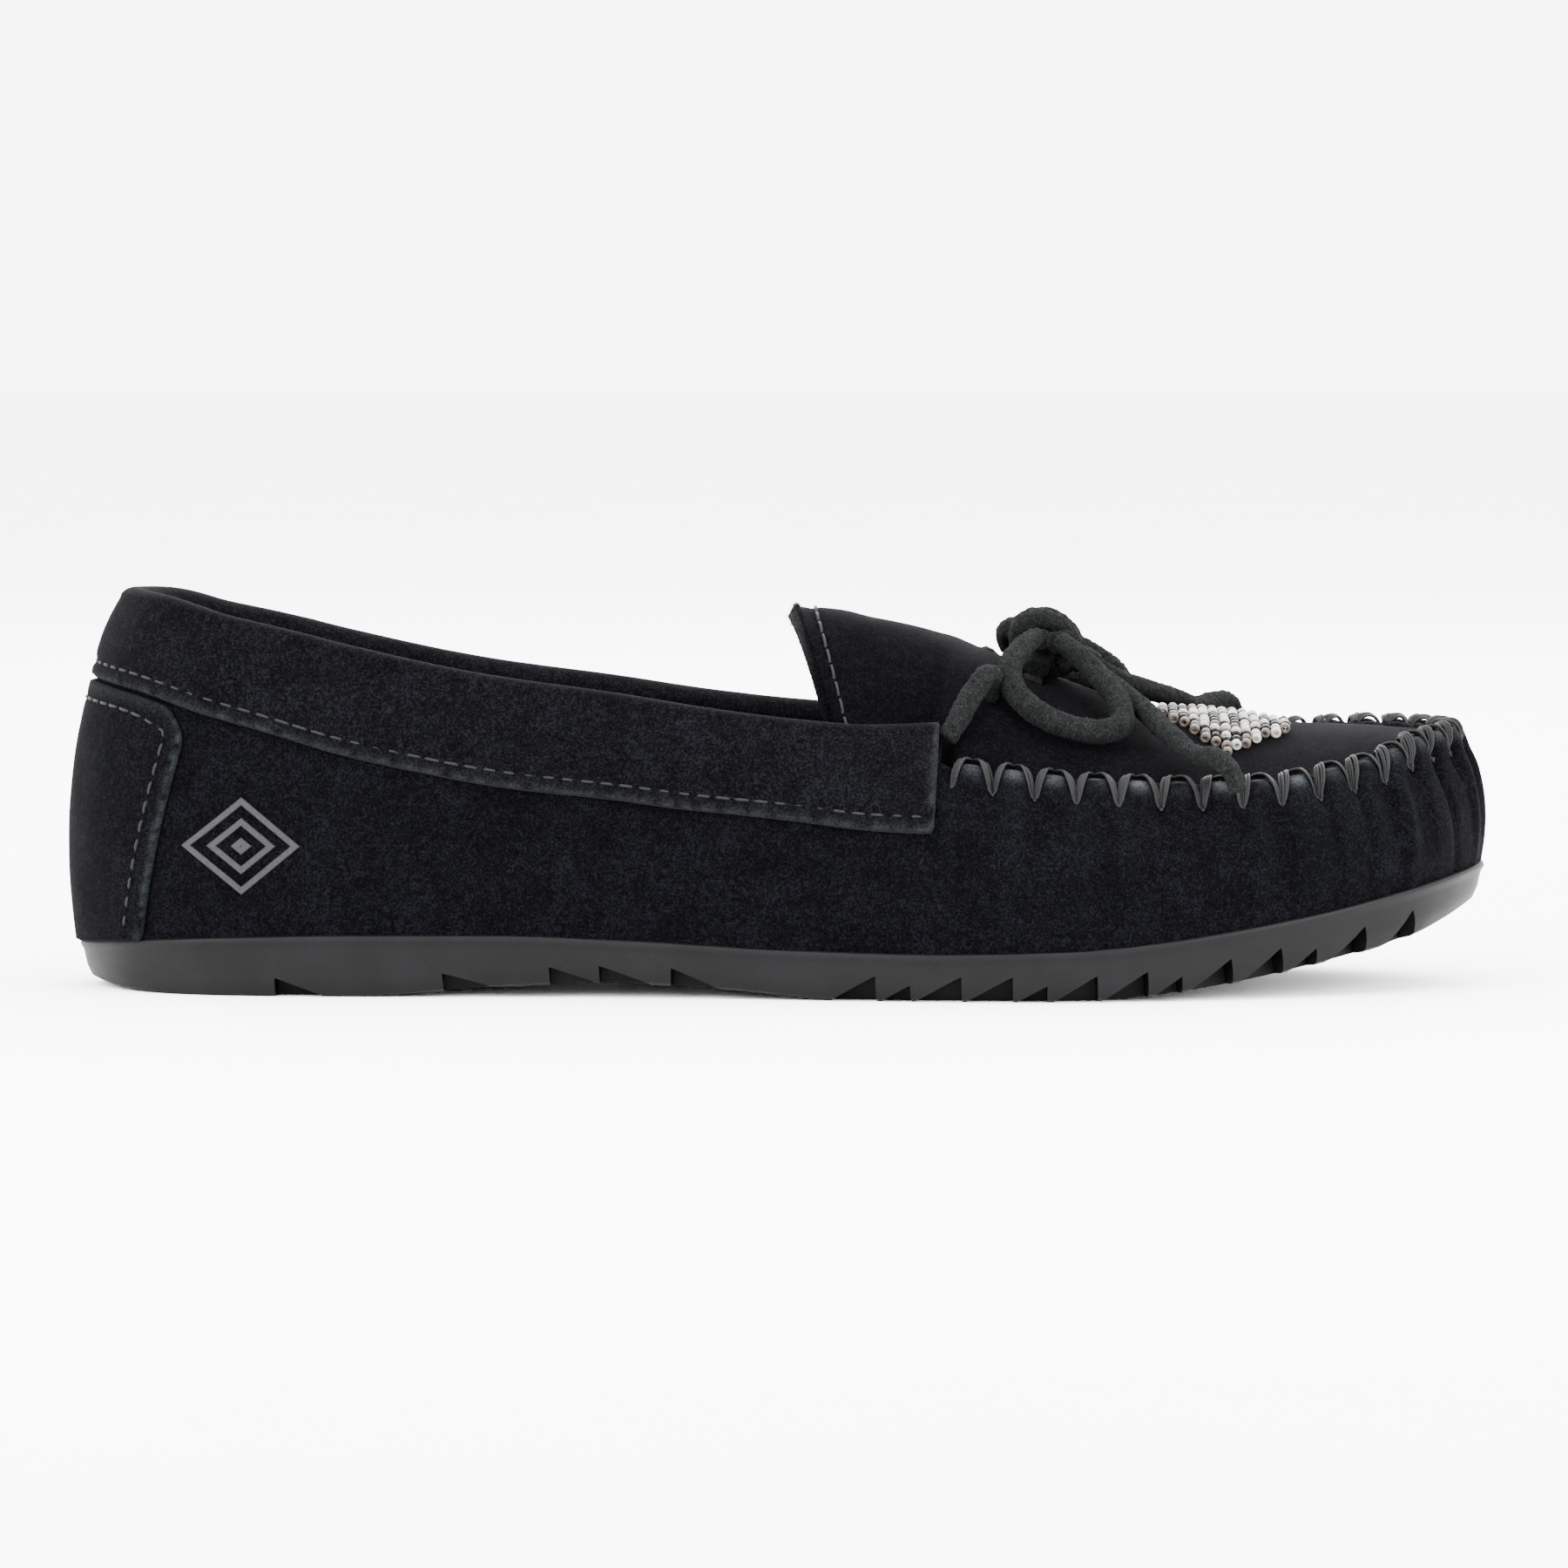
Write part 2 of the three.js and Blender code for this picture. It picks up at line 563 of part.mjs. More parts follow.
function uppers() {
  add("wrapper", wrapper(), BLACK_SUEDE, 0.95);
  add("collar_band", collar(), BLACK_SUEDE, 0.95);
  add("heel_patch", heelPatch(), BLACK_SUEDE, 0.95);
  add("heel_counter", sideSheet(rings(-COUNTER_END, COUNTER_END), 6, above, counterTop,
    () => counterDepth, COUNTER), 0xa89a80, 0.9);
  // Above the counter the lining comes back out, to pass behind the collar's inner leg.
  const quarterDepth = (u, z) => {
    const t = THREE.MathUtils.smoothstep(z, counterTop(u) + 5, collarTop(u) - INNER_LEG - 6);
    return THREE.MathUtils.lerp(liningDepth(u), SUEDE + GAP, t);
  };
  add("quarter_lining", sideSheet(rings(-LINING_JOIN, LINING_JOIN), 7, above,
    (u) => collarTop(u) - laceRoom, quarterDepth, LINING), 0x2a2a2e, 0.95);
  const vampTurns = rings(LINING_JOIN, 2 * RING - LINING_JOIN);
  vampTurns[0] += LINING_OPEN;
  vampTurns[vampTurns.length - 1] -= LINING_OPEN;
  add("vamp_lining", sideSheet(vampTurns, 4, above, vampLiningTop, () => SUEDE + GAP, LINING),
    0x2a2a2e, 0.95);
}

// ---- Roof: plug, tongue and what lies on them ------------------------------------------------
const roofDrop = 1.5; // the plug's edge below the top of the seam
const PLUG_CLEARANCE = 0.8; // between that edge and the wrapper
const LINING_CLOTH = 1;
const vampLiningTop = (u, side) =>
  wallTop(u, side) - roofDrop - PLUG_SUEDE - GAP - LINING_CLOTH - 3 * GAP;
const HINGE = 0.612; // the tongue bends up from here
const TONGUE_TIP = 0.508;
const TONGUE_JOINT = 0.9; // open joint between tongue and plug
const tongueOpen = TONGUE_JOINT / 2 / SOLE_LENGTH;
const crown = scaled(
  [
    [0.5, 1], [0.525, 0.99], [0.56, 0.915], [0.612, 0.77], [0.65, 0.6], [0.7, 0.4], [0.74, 0.25],
    [0.785, 0.12], [0.835, 0.05], [0.885, 0.015], [0.93, 0], [1, 0],
  ],
  SEAM_HEIGHT + 7, INSTEP_HEIGHT,
);
const ARCH_POWER = 2.2;
const FULL_CROWN = 20; // the roof's arch dies out where it is narrower than this
const TONGUE_LAP = 2; // the tongue's sides start this much above the collar's inner edge
const TIP_LEANS = 8; // the tongue's free edge is this much further forward at its sides

function roofEdge(u, side) {
  const s = roundAt(u, side);
  if (u >= HINGE) return wall(s, wallTop(u, side) - roofDrop, SUEDE + PLUG_CLEARANCE);
  const z = collarTop(u) - INNER_LEG + TONGUE_LAP;
  const p = wall(s, z, collarInner + COLLAR_SUEDE + TONGUE_CLEARANCE);
  return p.setX(wall(s, z, SUEDE + PLUG_CLEARANCE).x);
}

// A point of the roof's outer face: u along, v from -1 at the outer edge to 1 at the inner one.
function roof(u, v) {
  const [a, b] = [roofEdge(u, "outer"), roofEdge(u, "inner")];
  const p = a.clone().lerp(b, (v + 1) / 2);
  const rise = (crown(u) - (a.z + b.z) / 2) * Math.min(1, a.distanceTo(b) / FULL_CROWN);
  p.z += rise * (1 - Math.abs(v) ** ARCH_POWER);
  return p;
}

// Height of the roof over a plan point.
function roofHeight(x, y) {
  let u = x / SOLE_LENGTH + 0.5;
  let v = 0;
  for (let k = 0; k < 12; k++) {
    const [a, b] = [roofEdge(u, "outer"), roofEdge(u, "inner")];
    v = (2 * (y - a.y)) / (b.y - a.y) - 1;
    const here = a.x + ((b.x - a.x) * (v + 1)) / 2;
    u += (x - here) / SOLE_LENGTH;
  }
  return roof(u, THREE.MathUtils.clamp(v, -1, 1)).z;
}

// A point below the roof's face, measured square to its arch.
function underRoof(u, v, depth) {
  const d = 0.02;
  const [a, b] = [roof(u, v - d), roof(u, v + d)];
  const slope = (b.z - a.z) / Math.hypot(b.y - a.y, b.x - a.x, 1e-6);
  const k = Math.hypot(1, slope);
  return roof(u, v).add(new THREE.Vector3(0, (depth * slope) / k, -depth / k));
}

// A sheet of the roof with rows at the given shares of the length; `trim` narrows it.
function roofSheet(shares, columns, depth, thick, trim, slant = 0) {
  const at = (below) => (i, j) => {
    const v = ((2 * j) / columns - 1) * (1 - trim);
    const back = (slant * (1 - i / (shares.length - 1)) * v * v) / SOLE_LENGTH;
    return underRoof(shares[i] + back, v, below);
  };
  return sheet(shares.length - 1, columns, at(depth), at(depth + thick));
}

// A lace hole is punched square through the roof.
function holeCutter(x, y) {
  const z = roofHeight(x, y);
  const d = 1;
  const normal = new THREE.Vector3(
    roofHeight(x - d, y) - roofHeight(x + d, y), roofHeight(x, y - d) - roofHeight(x, y + d), 2 * d,
  ).normalize();
  const punch = new THREE.CylinderGeometry(LACE_HOLE / 2, LACE_HOLE / 2, 14, 8);
  punch.applyQuaternion(new THREE.Quaternion().setFromUnitVectors(new THREE.Vector3(0, 1, 0), normal));
  punch.translate(x, y, z);
  return punch;
}

const OUTER_HOLES = [[37, -18.5], [45.5, -5.5]]; // where the lace goes in, and comes up again
const INNER_HOLES = [[37, 20], [45.5, 6.5]];

function roofPieces() {
  const holes = [...OUTER_HOLES, ...INNER_HOLES].map(([x, y]) => holeCutter(x, y));
  const front = Array.from({ length: RING - COLLAR_END - 1 }, (_, k) => ringShare(COLLAR_END + 1 + k));
  const plugRows = [HINGE + tongueOpen, ...front, 1];
  add("plug", cut(roofSheet(plugRows, 10, 0, PLUG_SUEDE, 0), holes), BLACK_SUEDE, 0.95);
  const under = PLUG_SUEDE + GAP;
  add("plug_lining", cut(roofSheet(plugRows.slice(0, -2), 10, under, LINING_CLOTH, 0.04), holes),
    0x2a2a2e, 0.95);
  const tongueRows = spread(5, TONGUE_TIP, HINGE - tongueOpen, (u) => u);
  add("tongue", roofSheet(tongueRows, 10, 0, PLUG_SUEDE, 0, TIP_LEANS), BLACK_SUEDE, 0.95);
  const liningRows = spread(5, TONGUE_TIP + 0.006, HINGE - tongueOpen, (u) => u);
  add("tongue_lining", roofSheet(liningRows, 10, under, LINING_CLOTH, 0.04, TIP_LEANS), 0x2a2a2e, 0.95);
}

// ---- Lace ------------------------------------------------------------------------------------
const LACE_SIDES = 8;
const foldTop = COLLAR_SUEDE * FOLD_FLATNESS + GAP; // from the top line down to the lace

const OUTER_RUN = [
  [29.4, -30.7, 46.6], [31, -29.8, 49], [32.8, -26.8, 52.2], [34.8, -23.7, 55.2],
  [36.6, -21.6, 57.2], [37.6, -19.9, 56.8], [37, -18.4, 54.4], [36.1, -16.4, 51.4],
  [36.6, -13.8, 48.9], [39.4, -10.2, 48.2], [42.2, -6.4, 49], [43.6, -4.6, 51.4],
  [44.6, -4.9, 54], [45.4, -5.4, 56],
];
const INNER_RUN = [
  [29.9, 31.8, 46.8], [31.3, 30.8, 49.2], [32.9, 28.2, 52.2], [34.8, 25.3, 55.2],
  [36.5, 23, 57.7], [37.4, 21.3, 57.6], [37, 20, 55.3], [36.4, 18.2, 52.2],
  [36.9, 15.2, 49.8], [39.4, 10.8, 49], [42.2, 6.6, 49.4], [43.4, 5.8, 51.8],
  [44.4, 6.1, 54.6], [45.2, 6.4, 56.6],
];
const OUTER_LOOP = [
  [45.9, -5.7, 63.4], [43.4, -10.2, 61.8], [40.9, -16, 58.3], [41.6, -20.8, 54.8],
  [45.4, -24.4, 51.1], [51.5, -26, 48.4], [57.5, -25, 47.5], [61, -21.6, 48.8],
  [60.4, -17, 52.6], [56.6, -12, 57.2], [52.8, -8.4, 60.8], [50.2, -6.3, 62.7],
];
const INNER_LOOP = [
  [45.6, 6.6, 63.4], [42.6, 9.6, 64.2], [41.2, 13.5, 63.2], [42, 18, 60.4], [46, 22, 57],
  [52, 24, 54.5], [58, 22.6, 53.2], [61, 19, 53.7], [61, 14, 55.6], [57.6, 9.8, 58.6],
  [53.6, 8, 61.2], [51, 7.1, 62.8],
];
const OUTER_TAIL = [
  [53.3, -2.3, 59], [60.2, -8, 54.4], [64.6, -14.5, 51.2], [69.4, -22.5, 47], [73.8, -29, 43.6],
  [77.6, -35.4, 43.4], [80.2, -39, 41.2], [81.4, -40.2, 37.8],
];
const INNER_TAIL = [
  [56, 2.8, 58.6], [60.8, 5.4, 55.2], [66.5, 11, 52.8], [71.5, 18.5, 50.8], [76, 26.5, 48.7],
  [79.4, 32.8, 49.2], [82.4, 37.6, 48.6], [84, 40, 44.8],
];
const KNOT_BASE = [46.3, 0.5]; // where it sits on the plug

function knot() {
  const [x, y] = KNOT_BASE;
  const normal = new THREE.Vector3(roofHeight(x - 1, y) - roofHeight(x + 1, y), 0, 2).normalize();
  const ball = new THREE.SphereGeometry(0.5, 14, 9);
  ball.rotateX(Math.PI / 2);
  ball.scale(...KNOT);
  ball.applyQuaternion(new THREE.Quaternion().setFromUnitVectors(new THREE.Vector3(0, 0, 1), normal));
  const centre = normal.multiplyScalar(KNOT[2] / 2 + GAP).add(new THREE.Vector3(x, y, roofHeight(x, y)));
  ball.translate(centre.x, centre.y, centre.z);
  return ball;
}

function lace() {
  const held = ({ u }) => ({ z: collarTop(u) - foldTop - LACE_FLAT / 2, depth: (collarInner - GAP) / 2 });
  add("lace_in_collar", cordOnWall(rings(-COLLAR_END, COLLAR_END), held, LACE_FLAT, LACE_SIDES),
    LACE_SUEDE, 0.95);
  const free = (name, points, steps) => add(name,
    tube(through(points.map((p) => new THREE.Vector3(...p))), LACE, steps, LACE_SIDES), LACE_SUEDE, 0.95);
  free("lace_outer_run", OUTER_RUN, 22);
  free("lace_inner_run", INNER_RUN, 22);
  free("lace_outer_loop", OUTER_LOOP, 20);
  free("lace_inner_loop", INNER_LOOP, 18);
  free("lace_outer_tail", OUTER_TAIL, 16);
  free("lace_inner_tail", INNER_TAIL, 16);
  add("lace_knot", knot(), LACE_SUEDE, 0.95);
}

// ---- Threads and beads -------------------------------------------------------------------------
const SEAM_THREAD_FROM = 0.622;
const THREAD_SIDES = 8;
const COLLAR_STITCH = STITCH_INSET - 0.6; // up from the collar's lower edge
const TONGUE_STITCH = 2.6; // from the tongue's free edge

function threads() {
  const thread = (name, points, diameter, steps) =>
    add(name, tube(through(points), diameter, steps, THREAD_SIDES), THREAD_BLACK, 0.9);
  const seam = [roundAt(SEAM_THREAD_FROM, "outer"), ...rings(COLLAR_END + 1, 2 * RING - COLLAR_END - 1),
    roundAt(SEAM_THREAD_FROM, "inner")];
  const onSeam = ({ u, side }) => ({ z: wallTop(u, side) + GAP + SEAM_THREAD / 2, depth: SUEDE / 2 });
  add("seam_thread", cordOnWall(seam, onSeam, SEAM_THREAD, THREAD_SIDES), THREAD_BLACK, 0.9);

  const onCollar = ({ u }) => ({
    z: collarFoot(u) + COLLAR_STITCH,
    depth: -GAP - COLLAR_SUEDE - GAP - TOP_THREAD / 2,
  });
  add("collar_stitching", cordOnWall(rings(-COLLAR_END, COLLAR_END), onCollar, TOP_THREAD, THREAD_SIDES),
    THREAD_BLACK, 0.9);

  const onPatch = -GAP - PATCH_SUEDE - GAP - TOP_THREAD / 2;
  const topUp = 0.94;
  const front = (side) => [0.04, 0.3, 0.55, 0.78, 0.88].map((up) =>
    patchPoint(frontTurn(side, patchFront(up) - STITCH_INSET / SOLE_LENGTH), up, onPatch));
  thread("patch_stitching", [
    ...front("inner"),
    ...rings(-PATCH_RINGS, PATCH_RINGS).map((s) => patchPoint(s, topUp, onPatch)),
    ...front("outer").reverse(),
  ], TOP_THREAD, 26);

  thread("tongue_stitching", spread(12, -0.9, 0.9, (v) =>
    underRoof(TONGUE_TIP + (TIP_LEANS * v * v + TONGUE_STITCH) / SOLE_LENGTH, v, -GAP - TOP_THREAD / 2)),
  TOP_THREAD, 12);
}

const TRIM = { from: 67, to: 93, halfWidth: 17, point: 2 }; // lozenge of beads on the plug
function beadTrim() {
  const [rows, columns] = [10, 6];
  const middle = (TRIM.from + TRIM.to) / 2;
  const at = (rise) => (i, j) => {
    const x = TRIM.from + ((TRIM.to - TRIM.from) * i) / rows;
    const share = 1 - Math.abs(x - middle) / (middle - TRIM.from);
    const y = (TRIM.point + (TRIM.halfWidth - TRIM.point) * share) * ((2 * j) / columns - 1);
    return new THREE.Vector3(x, y, roofHeight(x, y) + GAP * 1.5 + rise);
  };
  add("bead_trim", sheet(rows, columns, at(BEAD), at(0)), 0xcfc7bd, 0.3);
}

uppers();
bottom();
roofPieces();
lace();
threads();
beadTrim();

export default object;
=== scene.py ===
"""Looks of the suede moccasin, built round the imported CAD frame.

Shapes are worked out in millimetres on the same outline, wall and roof as the CAD part, and turned
into metres when a mesh is made. The shoe points along +X and its outer side faces -Y.
"""

import math

import bmesh
import bpy
import numpy as np
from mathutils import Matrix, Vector


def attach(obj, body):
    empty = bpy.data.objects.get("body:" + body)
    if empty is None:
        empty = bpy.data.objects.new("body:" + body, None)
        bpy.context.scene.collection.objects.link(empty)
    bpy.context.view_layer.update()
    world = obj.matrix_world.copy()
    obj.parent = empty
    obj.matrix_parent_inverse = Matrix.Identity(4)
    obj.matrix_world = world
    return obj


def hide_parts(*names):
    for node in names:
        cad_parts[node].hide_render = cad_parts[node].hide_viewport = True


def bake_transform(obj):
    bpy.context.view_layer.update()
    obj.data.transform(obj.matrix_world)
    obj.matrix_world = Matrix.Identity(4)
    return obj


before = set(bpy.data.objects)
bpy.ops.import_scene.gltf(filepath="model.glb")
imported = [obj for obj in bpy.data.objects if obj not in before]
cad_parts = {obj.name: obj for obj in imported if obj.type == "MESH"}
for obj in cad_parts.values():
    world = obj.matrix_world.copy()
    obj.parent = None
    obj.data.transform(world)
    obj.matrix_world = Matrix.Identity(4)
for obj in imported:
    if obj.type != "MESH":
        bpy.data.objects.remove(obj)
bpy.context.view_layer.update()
MM = 0.001

# ---- Sizes that the CAD part has too, in millimetres ---------------------------------------------
SOLE_LENGTH = 254
BALL_WIDTH = 87
SOLE_HEIGHT = 9
TOE_SPRING = 13
HEEL_HEIGHT = 72.5
SEAM_HEIGHT = 39
INNER_SEAM_RISE = 6
TOE_SEAM_RISE = 8
INSTEP_HEIGHT = 68.5
COLLAR_WIDTH = 19
SUEDE = 1.6
COLLAR_SUEDE = 1.5
PLUG_SUEDE = 1.5
PATCH_SUEDE = 1.3
LINING = 1.2
COUNTER = 1.2
BOARD = 2
LACE_FLAT = 3
GAP = 0.3
SEAM_FROM = 0.612
COLLAR_TO = 0.604
TONGUE_TIP = 0.508
TONGUE_SLANT = 8
LACE_HOLES = [(37, -18.5), (45.5, -5.5), (37, 20), (45.5, 6.5)]
TRIM_FROM, TRIM_TO, TRIM_HALF = 67, 93, 17

OUTLINE = [
    (0, 0), (0.025, -0.19), (0.08, -0.315), (0.16, -0.357), (0.3, -0.378), (0.42, -0.405),
    (0.52, -0.456), (0.6, -0.492), (0.68, -0.508), (0.76, -0.49), (0.84, -0.424), (0.91, -0.322),
    (0.965, -0.18), (1, 0.05), (0.984, 0.225), (0.94, 0.348), (0.875, 0.432), (0.8, 0.474),
    (0.72, 0.486), (0.65, 0.474), (0.57, 0.422), (0.48, 0.358), (0.38, 0.323), (0.27, 0.322),
    (0.16, 0.338), (0.075, 0.3), (0.022, 0.17),
]

# The lace's routes, as the CAD part has them.
OUTER_RUN = [
    (29.4, -30.7, 46.6), (31, -29.8, 49), (32.8, -26.8, 52.2), (34.8, -23.7, 55.2),
    (36.6, -21.6, 57.2), (37.6, -19.9, 56.8), (37, -18.4, 54.4), (36.1, -16.4, 51.4),
    (36.6, -13.8, 48.9), (39.4, -10.2, 48.2), (42.2, -6.4, 49), (43.6, -4.6, 51.4),
    (44.6, -4.9, 54), (45.4, -5.4, 56),
]
INNER_RUN = [
    (29.9, 31.8, 46.8), (31.3, 30.8, 49.2), (32.9, 28.2, 52.2), (34.8, 25.3, 55.2),
    (36.5, 23, 57.7), (37.4, 21.3, 57.6), (37, 20, 55.3), (36.4, 18.2, 52.2),
    (36.9, 15.2, 49.8), (39.4, 10.8, 49), (42.2, 6.6, 49.4), (43.4, 5.8, 51.8),
    (44.4, 6.1, 54.6), (45.2, 6.4, 56.6),
]
OUTER_LOOP = [
    (45.9, -5.7, 63.4), (43.4, -10.2, 61.8), (40.9, -16, 58.3), (41.6, -20.8, 54.8),
    (45.4, -24.4, 51.1), (51.5, -26, 48.4), (57.5, -25, 47.5), (61, -21.6, 48.8),
    (60.4, -17, 52.6), (56.6, -12, 57.2), (52.8, -8.4, 60.8), (50.2, -6.3, 62.7),
]
INNER_LOOP = [
    (45.6, 6.6, 63.4), (42.6, 9.6, 64.2), (41.2, 13.5, 63.2), (42, 18, 60.4), (46, 22, 57),
    (52, 24, 54.5), (58, 22.6, 53.2), (61, 19, 53.7), (61, 14, 55.6), (57.6, 9.8, 58.6),
    (53.6, 8, 61.2), (51, 7.1, 62.8),
]
OUTER_TAIL = [
    (53.3, -2.3, 59), (60.2, -8, 54.4), (64.6, -14.5, 51.2), (69.4, -22.5, 47),
    (73.8, -29, 43.6), (77.6, -35.4, 43.4), (80.2, -39, 41.2), (81.4, -40.2, 37.8),
]
INNER_TAIL = [
    (56, 2.8, 58.6), (60.8, 5.4, 55.2), (66.5, 11, 52.8), (71.5, 18.5, 50.8), (76, 26.5, 48.7),
    (79.4, 32.8, 49.2), (82.4, 37.6, 48.6), (84, 40, 44.8),
]


# ---- Curves ----------------------------------------------------------------------------------------
def smooth(points):
    """A function through (x, y) points that never overshoots them (monotone cubic)."""
    x, y = np.array(points, float).T
    step = np.diff(y) / np.diff(x)
    slope = np.zeros(len(x))
    slope[0], slope[-1] = step[0], step[-1]
    left, right = step[:-1], step[1:]
    same = left * right > 0
    total = np.where(same, left + right, 1)
    slope[1:-1] = np.where(same, 2 * left * right / total, 0)

    def value(at):
        at = np.clip(at, x[0], x[-1])
        i = np.clip(np.searchsorted(x, at, side="right") - 1, 0, len(x) - 2)
        w = x[i + 1] - x[i]
        t = (at - x[i]) / w
        a = y[i] * (1 + 2 * t) * (1 - t) ** 2 + y[i + 1] * t * t * (3 - 2 * t)
        return a + w * t * (1 - t) * (slope[i] * (1 - t) - slope[i + 1] * t)

    return value


def scaled(points, low, high):
    return smooth([(x, low + y * (high - low)) for x, y in points])


def smoothstep(x, low, high):
    t = np.clip((x - low) / (high - low), 0, 1)
    return t * t * (3 - 2 * t)


def mix(a, b, t):
    return a + (b - a) * t


def through(knots, samples, closed=False):
    """Points on a centripetal Catmull-Rom curve through the knots, `samples` for each span."""
    knots = np.array(knots, float)
    n = len(knots)
    if closed:
        around = knots[(np.arange(n + 3) - 1) % n]
    else:
        around = np.vstack([2 * knots[0] - knots[1], knots, 2 * knots[-1] - knots[-2]])
    t = np.linspace(0, 1, samples, endpoint=False)[:, None]
    spans = []
    for p0, p1, p2, p3 in zip(around[:-3], around[1:-2], around[2:-1], around[3:]):
        d0, d1, d2 = (math.sqrt(np.linalg.norm(b - a)) for a, b in ((p0, p1), (p1, p2), (p2, p3)))
        m1 = ((p1 - p0) / d0 - (p2 - p0) / (d0 + d1) + (p2 - p1) / d1) * d1
        m2 = ((p2 - p1) / d1 - (p3 - p1) / (d1 + d2) + (p3 - p2) / d2) * d1
        cubic = 2 * p1 - 2 * p2 + m1 + m2
        square = -3 * p1 + 3 * p2 - 2 * m1 - m2
        spans.append(p1 + m1 * t + square * t**2 + cubic * t**3)
    if not closed:
        spans.append(knots[-1:])
    return np.vstack(spans)


def along_points(points):
    """Distance along a line of points."""
    return np.concatenate([[0], np.cumsum(np.linalg.norm(np.diff(points, axis=0), axis=1))])


def evenly(points, step):
    """The same line with its points an even distance apart, near `step`."""
    along = along_points(points)
    count = max(2, int(round(along[-1] / step)) + 1)
    at = np.linspace(0, along[-1], count)
    return np.stack([np.interp(at, along, points[:, k]) for k in range(3)], -1)


def length_of(points):
    return float(np.linalg.norm(np.diff(points, axis=0), axis=1).sum())


def ripple(points, size, seed):
    """Gentle unevenness, mostly within -1 and 1, with features about `size` across."""
    random = np.random.default_rng(seed)
    total = np.zeros(points.shape[:-1])
    for _ in range(14):
        direction = random.normal(size=3)
        direction *= 2 * math.pi / (size * random.uniform(0.7, 1.6) * np.linalg.norm(direction))
        total += np.sin(points @ direction + random.uniform(0, 2 * math.pi))
    return total / 4


# ---- The shoe's outline, wall and roof -------------------------------------------------------------
PLAN = through([((u - 0.5) * SOLE_LENGTH, v * BALL_WIDTH) for u, v in OUTLINE], 400, closed=True)
PLAN = np.vstack([PLAN, PLAN[:1]])
PLAN_ALONG = along_points(PLAN)
PERIMETER = PLAN_ALONG[-1]
PLAN_ALONG = PLAN_ALONG / PERIMETER


def plan_point(s):
    """Point of the outline at turn s, a share of the way round from the heel's outer side."""
    s = np.mod(s, 1)
    return np.stack([np.interp(s, PLAN_ALONG, PLAN[:, k]) for k in range(2)], -1)


def plan_inward(s):
    t = plan_point(s + 4e-4) - plan_point(s - 4e-4)
    t /= np.linalg.norm(t, axis=-1, keepdims=True)
    return np.stack([-t[..., 1], t[..., 0]], -1)


_fine = np.linspace(-0.05, 0.05, 4001)
HEEL_S = float(_fine[np.argmin(plan_point(_fine)[:, 0])])
TOE_S = float(_fine[np.argmax(plan_point(_fine + 0.5)[:, 0])] + 0.5)
_outer = np.linspace(HEEL_S, TOE_S, 6001)
_inner = np.linspace(HEEL_S + 1, TOE_S, 6001)
ROUND = {
    "outer": (np.maximum.accumulate(plan_point(_outer)[:, 0]), _outer),
    "inner": (np.maximum.accumulate(plan_point(_inner)[:, 0]), _inner),
}


def round_at(u, side):
    """Turn where a share of the length lies, on one side."""
    x, s = ROUND[side]
    return np.interp((np.asarray(u, float) - 0.5) * SOLE_LENGTH, x, s)


def share(x):
    return x / SOLE_LENGTH + 0.5


def is_outer(s):
    return np.mod(s - HEEL_S, 1) < TOE_S - HEEL_S


sole_top = smooth(
    [
        (0, 8.2), (0.03, 9.3), (0.1, 10.6), (0.2, 11.2), (0.3, 11.3), (0.4, 10.4), (0.5, 9.2),
        (0.6, 8.7), (0.7, 9.3),
    ]
    + [(u, SOLE_HEIGHT + k * TOE_SPRING)
       for u, k in ((0.76, 0.12), (0.82, 0.28), (0.88, 0.48), (0.94, 0.73), (1, 1))]
)
sole_bottom = smooth(
    [(0, 1.6), (0.035, 0.3), (0.06, 0), (0.2, 0), (0.3, 1.8), (0.38, 2.5), (0.46, 1.6), (0.55, 0),
     (0.7, 0)]
    + [(u, k * TOE_SPRING)
       for u, k in ((0.76, 0.07), (0.82, 0.23), (0.88, 0.46), (0.94, 0.73), (1, 1.2))]
)
COLLAR_FRONT = SEAM_HEIGHT + 4 + 6.5
collar_top = scaled(
    [
        (0, 1), (0.035, 0.97), (0.09, 0.85), (0.13, 0.765), (0.19, 0.61), (0.287, 0.385),
        (0.38, 0.24), (0.445, 0.125), (0.508, 0.04), (0.556, 0), (0.62, 0.02),
    ],
    COLLAR_FRONT, HEEL_HEIGHT,
)
collar_width = smooth([(u, k * COLLAR_WIDTH) for u, k in (
    (0, 0.86), (0.08, 0.95), (0.2, 1.04), (0.3, 1.03), (0.42, 0.98), (0.5, 0.94), (0.6, 1.02))])


def collar_foot(u):
    return collar_top(u) - collar_width(u)


seam_rise_outer = smooth([
    (SEAM_FROM, 4), (0.66, 2.5), (0.72, 0.9), (0.82, 0), (0.86, 0.3), (0.9, 1.6), (0.94, 3.6),
    (0.975, 7), (1, TOE_SEAM_RISE)])
seam_rise_inner = smooth([
    (SEAM_FROM, 4 + INNER_SEAM_RISE * 0.5), (0.66, 1.5 + INNER_SEAM_RISE * 0.8),
    (0.72, INNER_SEAM_RISE), (0.86, INNER_SEAM_RISE + 0.6), (0.94, INNER_SEAM_RISE + 1.8),
    (1, TOE_SEAM_RISE)])
top_lean_outer = smooth([
    (0, 9.5), (0.1, 8), (0.25, 6), (0.45, 6), (0.6, 8.5), (0.75, 9.5), (0.9, 9), (0.97, 7), (1, 5.3)])
top_lean_inner = smooth([
    (0, 9.5), (0.1, 8), (0.25, 5.5), (0.45, 4.5), (0.6, 6), (0.75, 6), (0.9, 6.5), (1, 5.3)])
swell = smooth([(0, 2), (0.15, 1.2), (0.4, 0.6), (0.7, 1), (1, 1.1)])
LEAN_POWER = 2.5


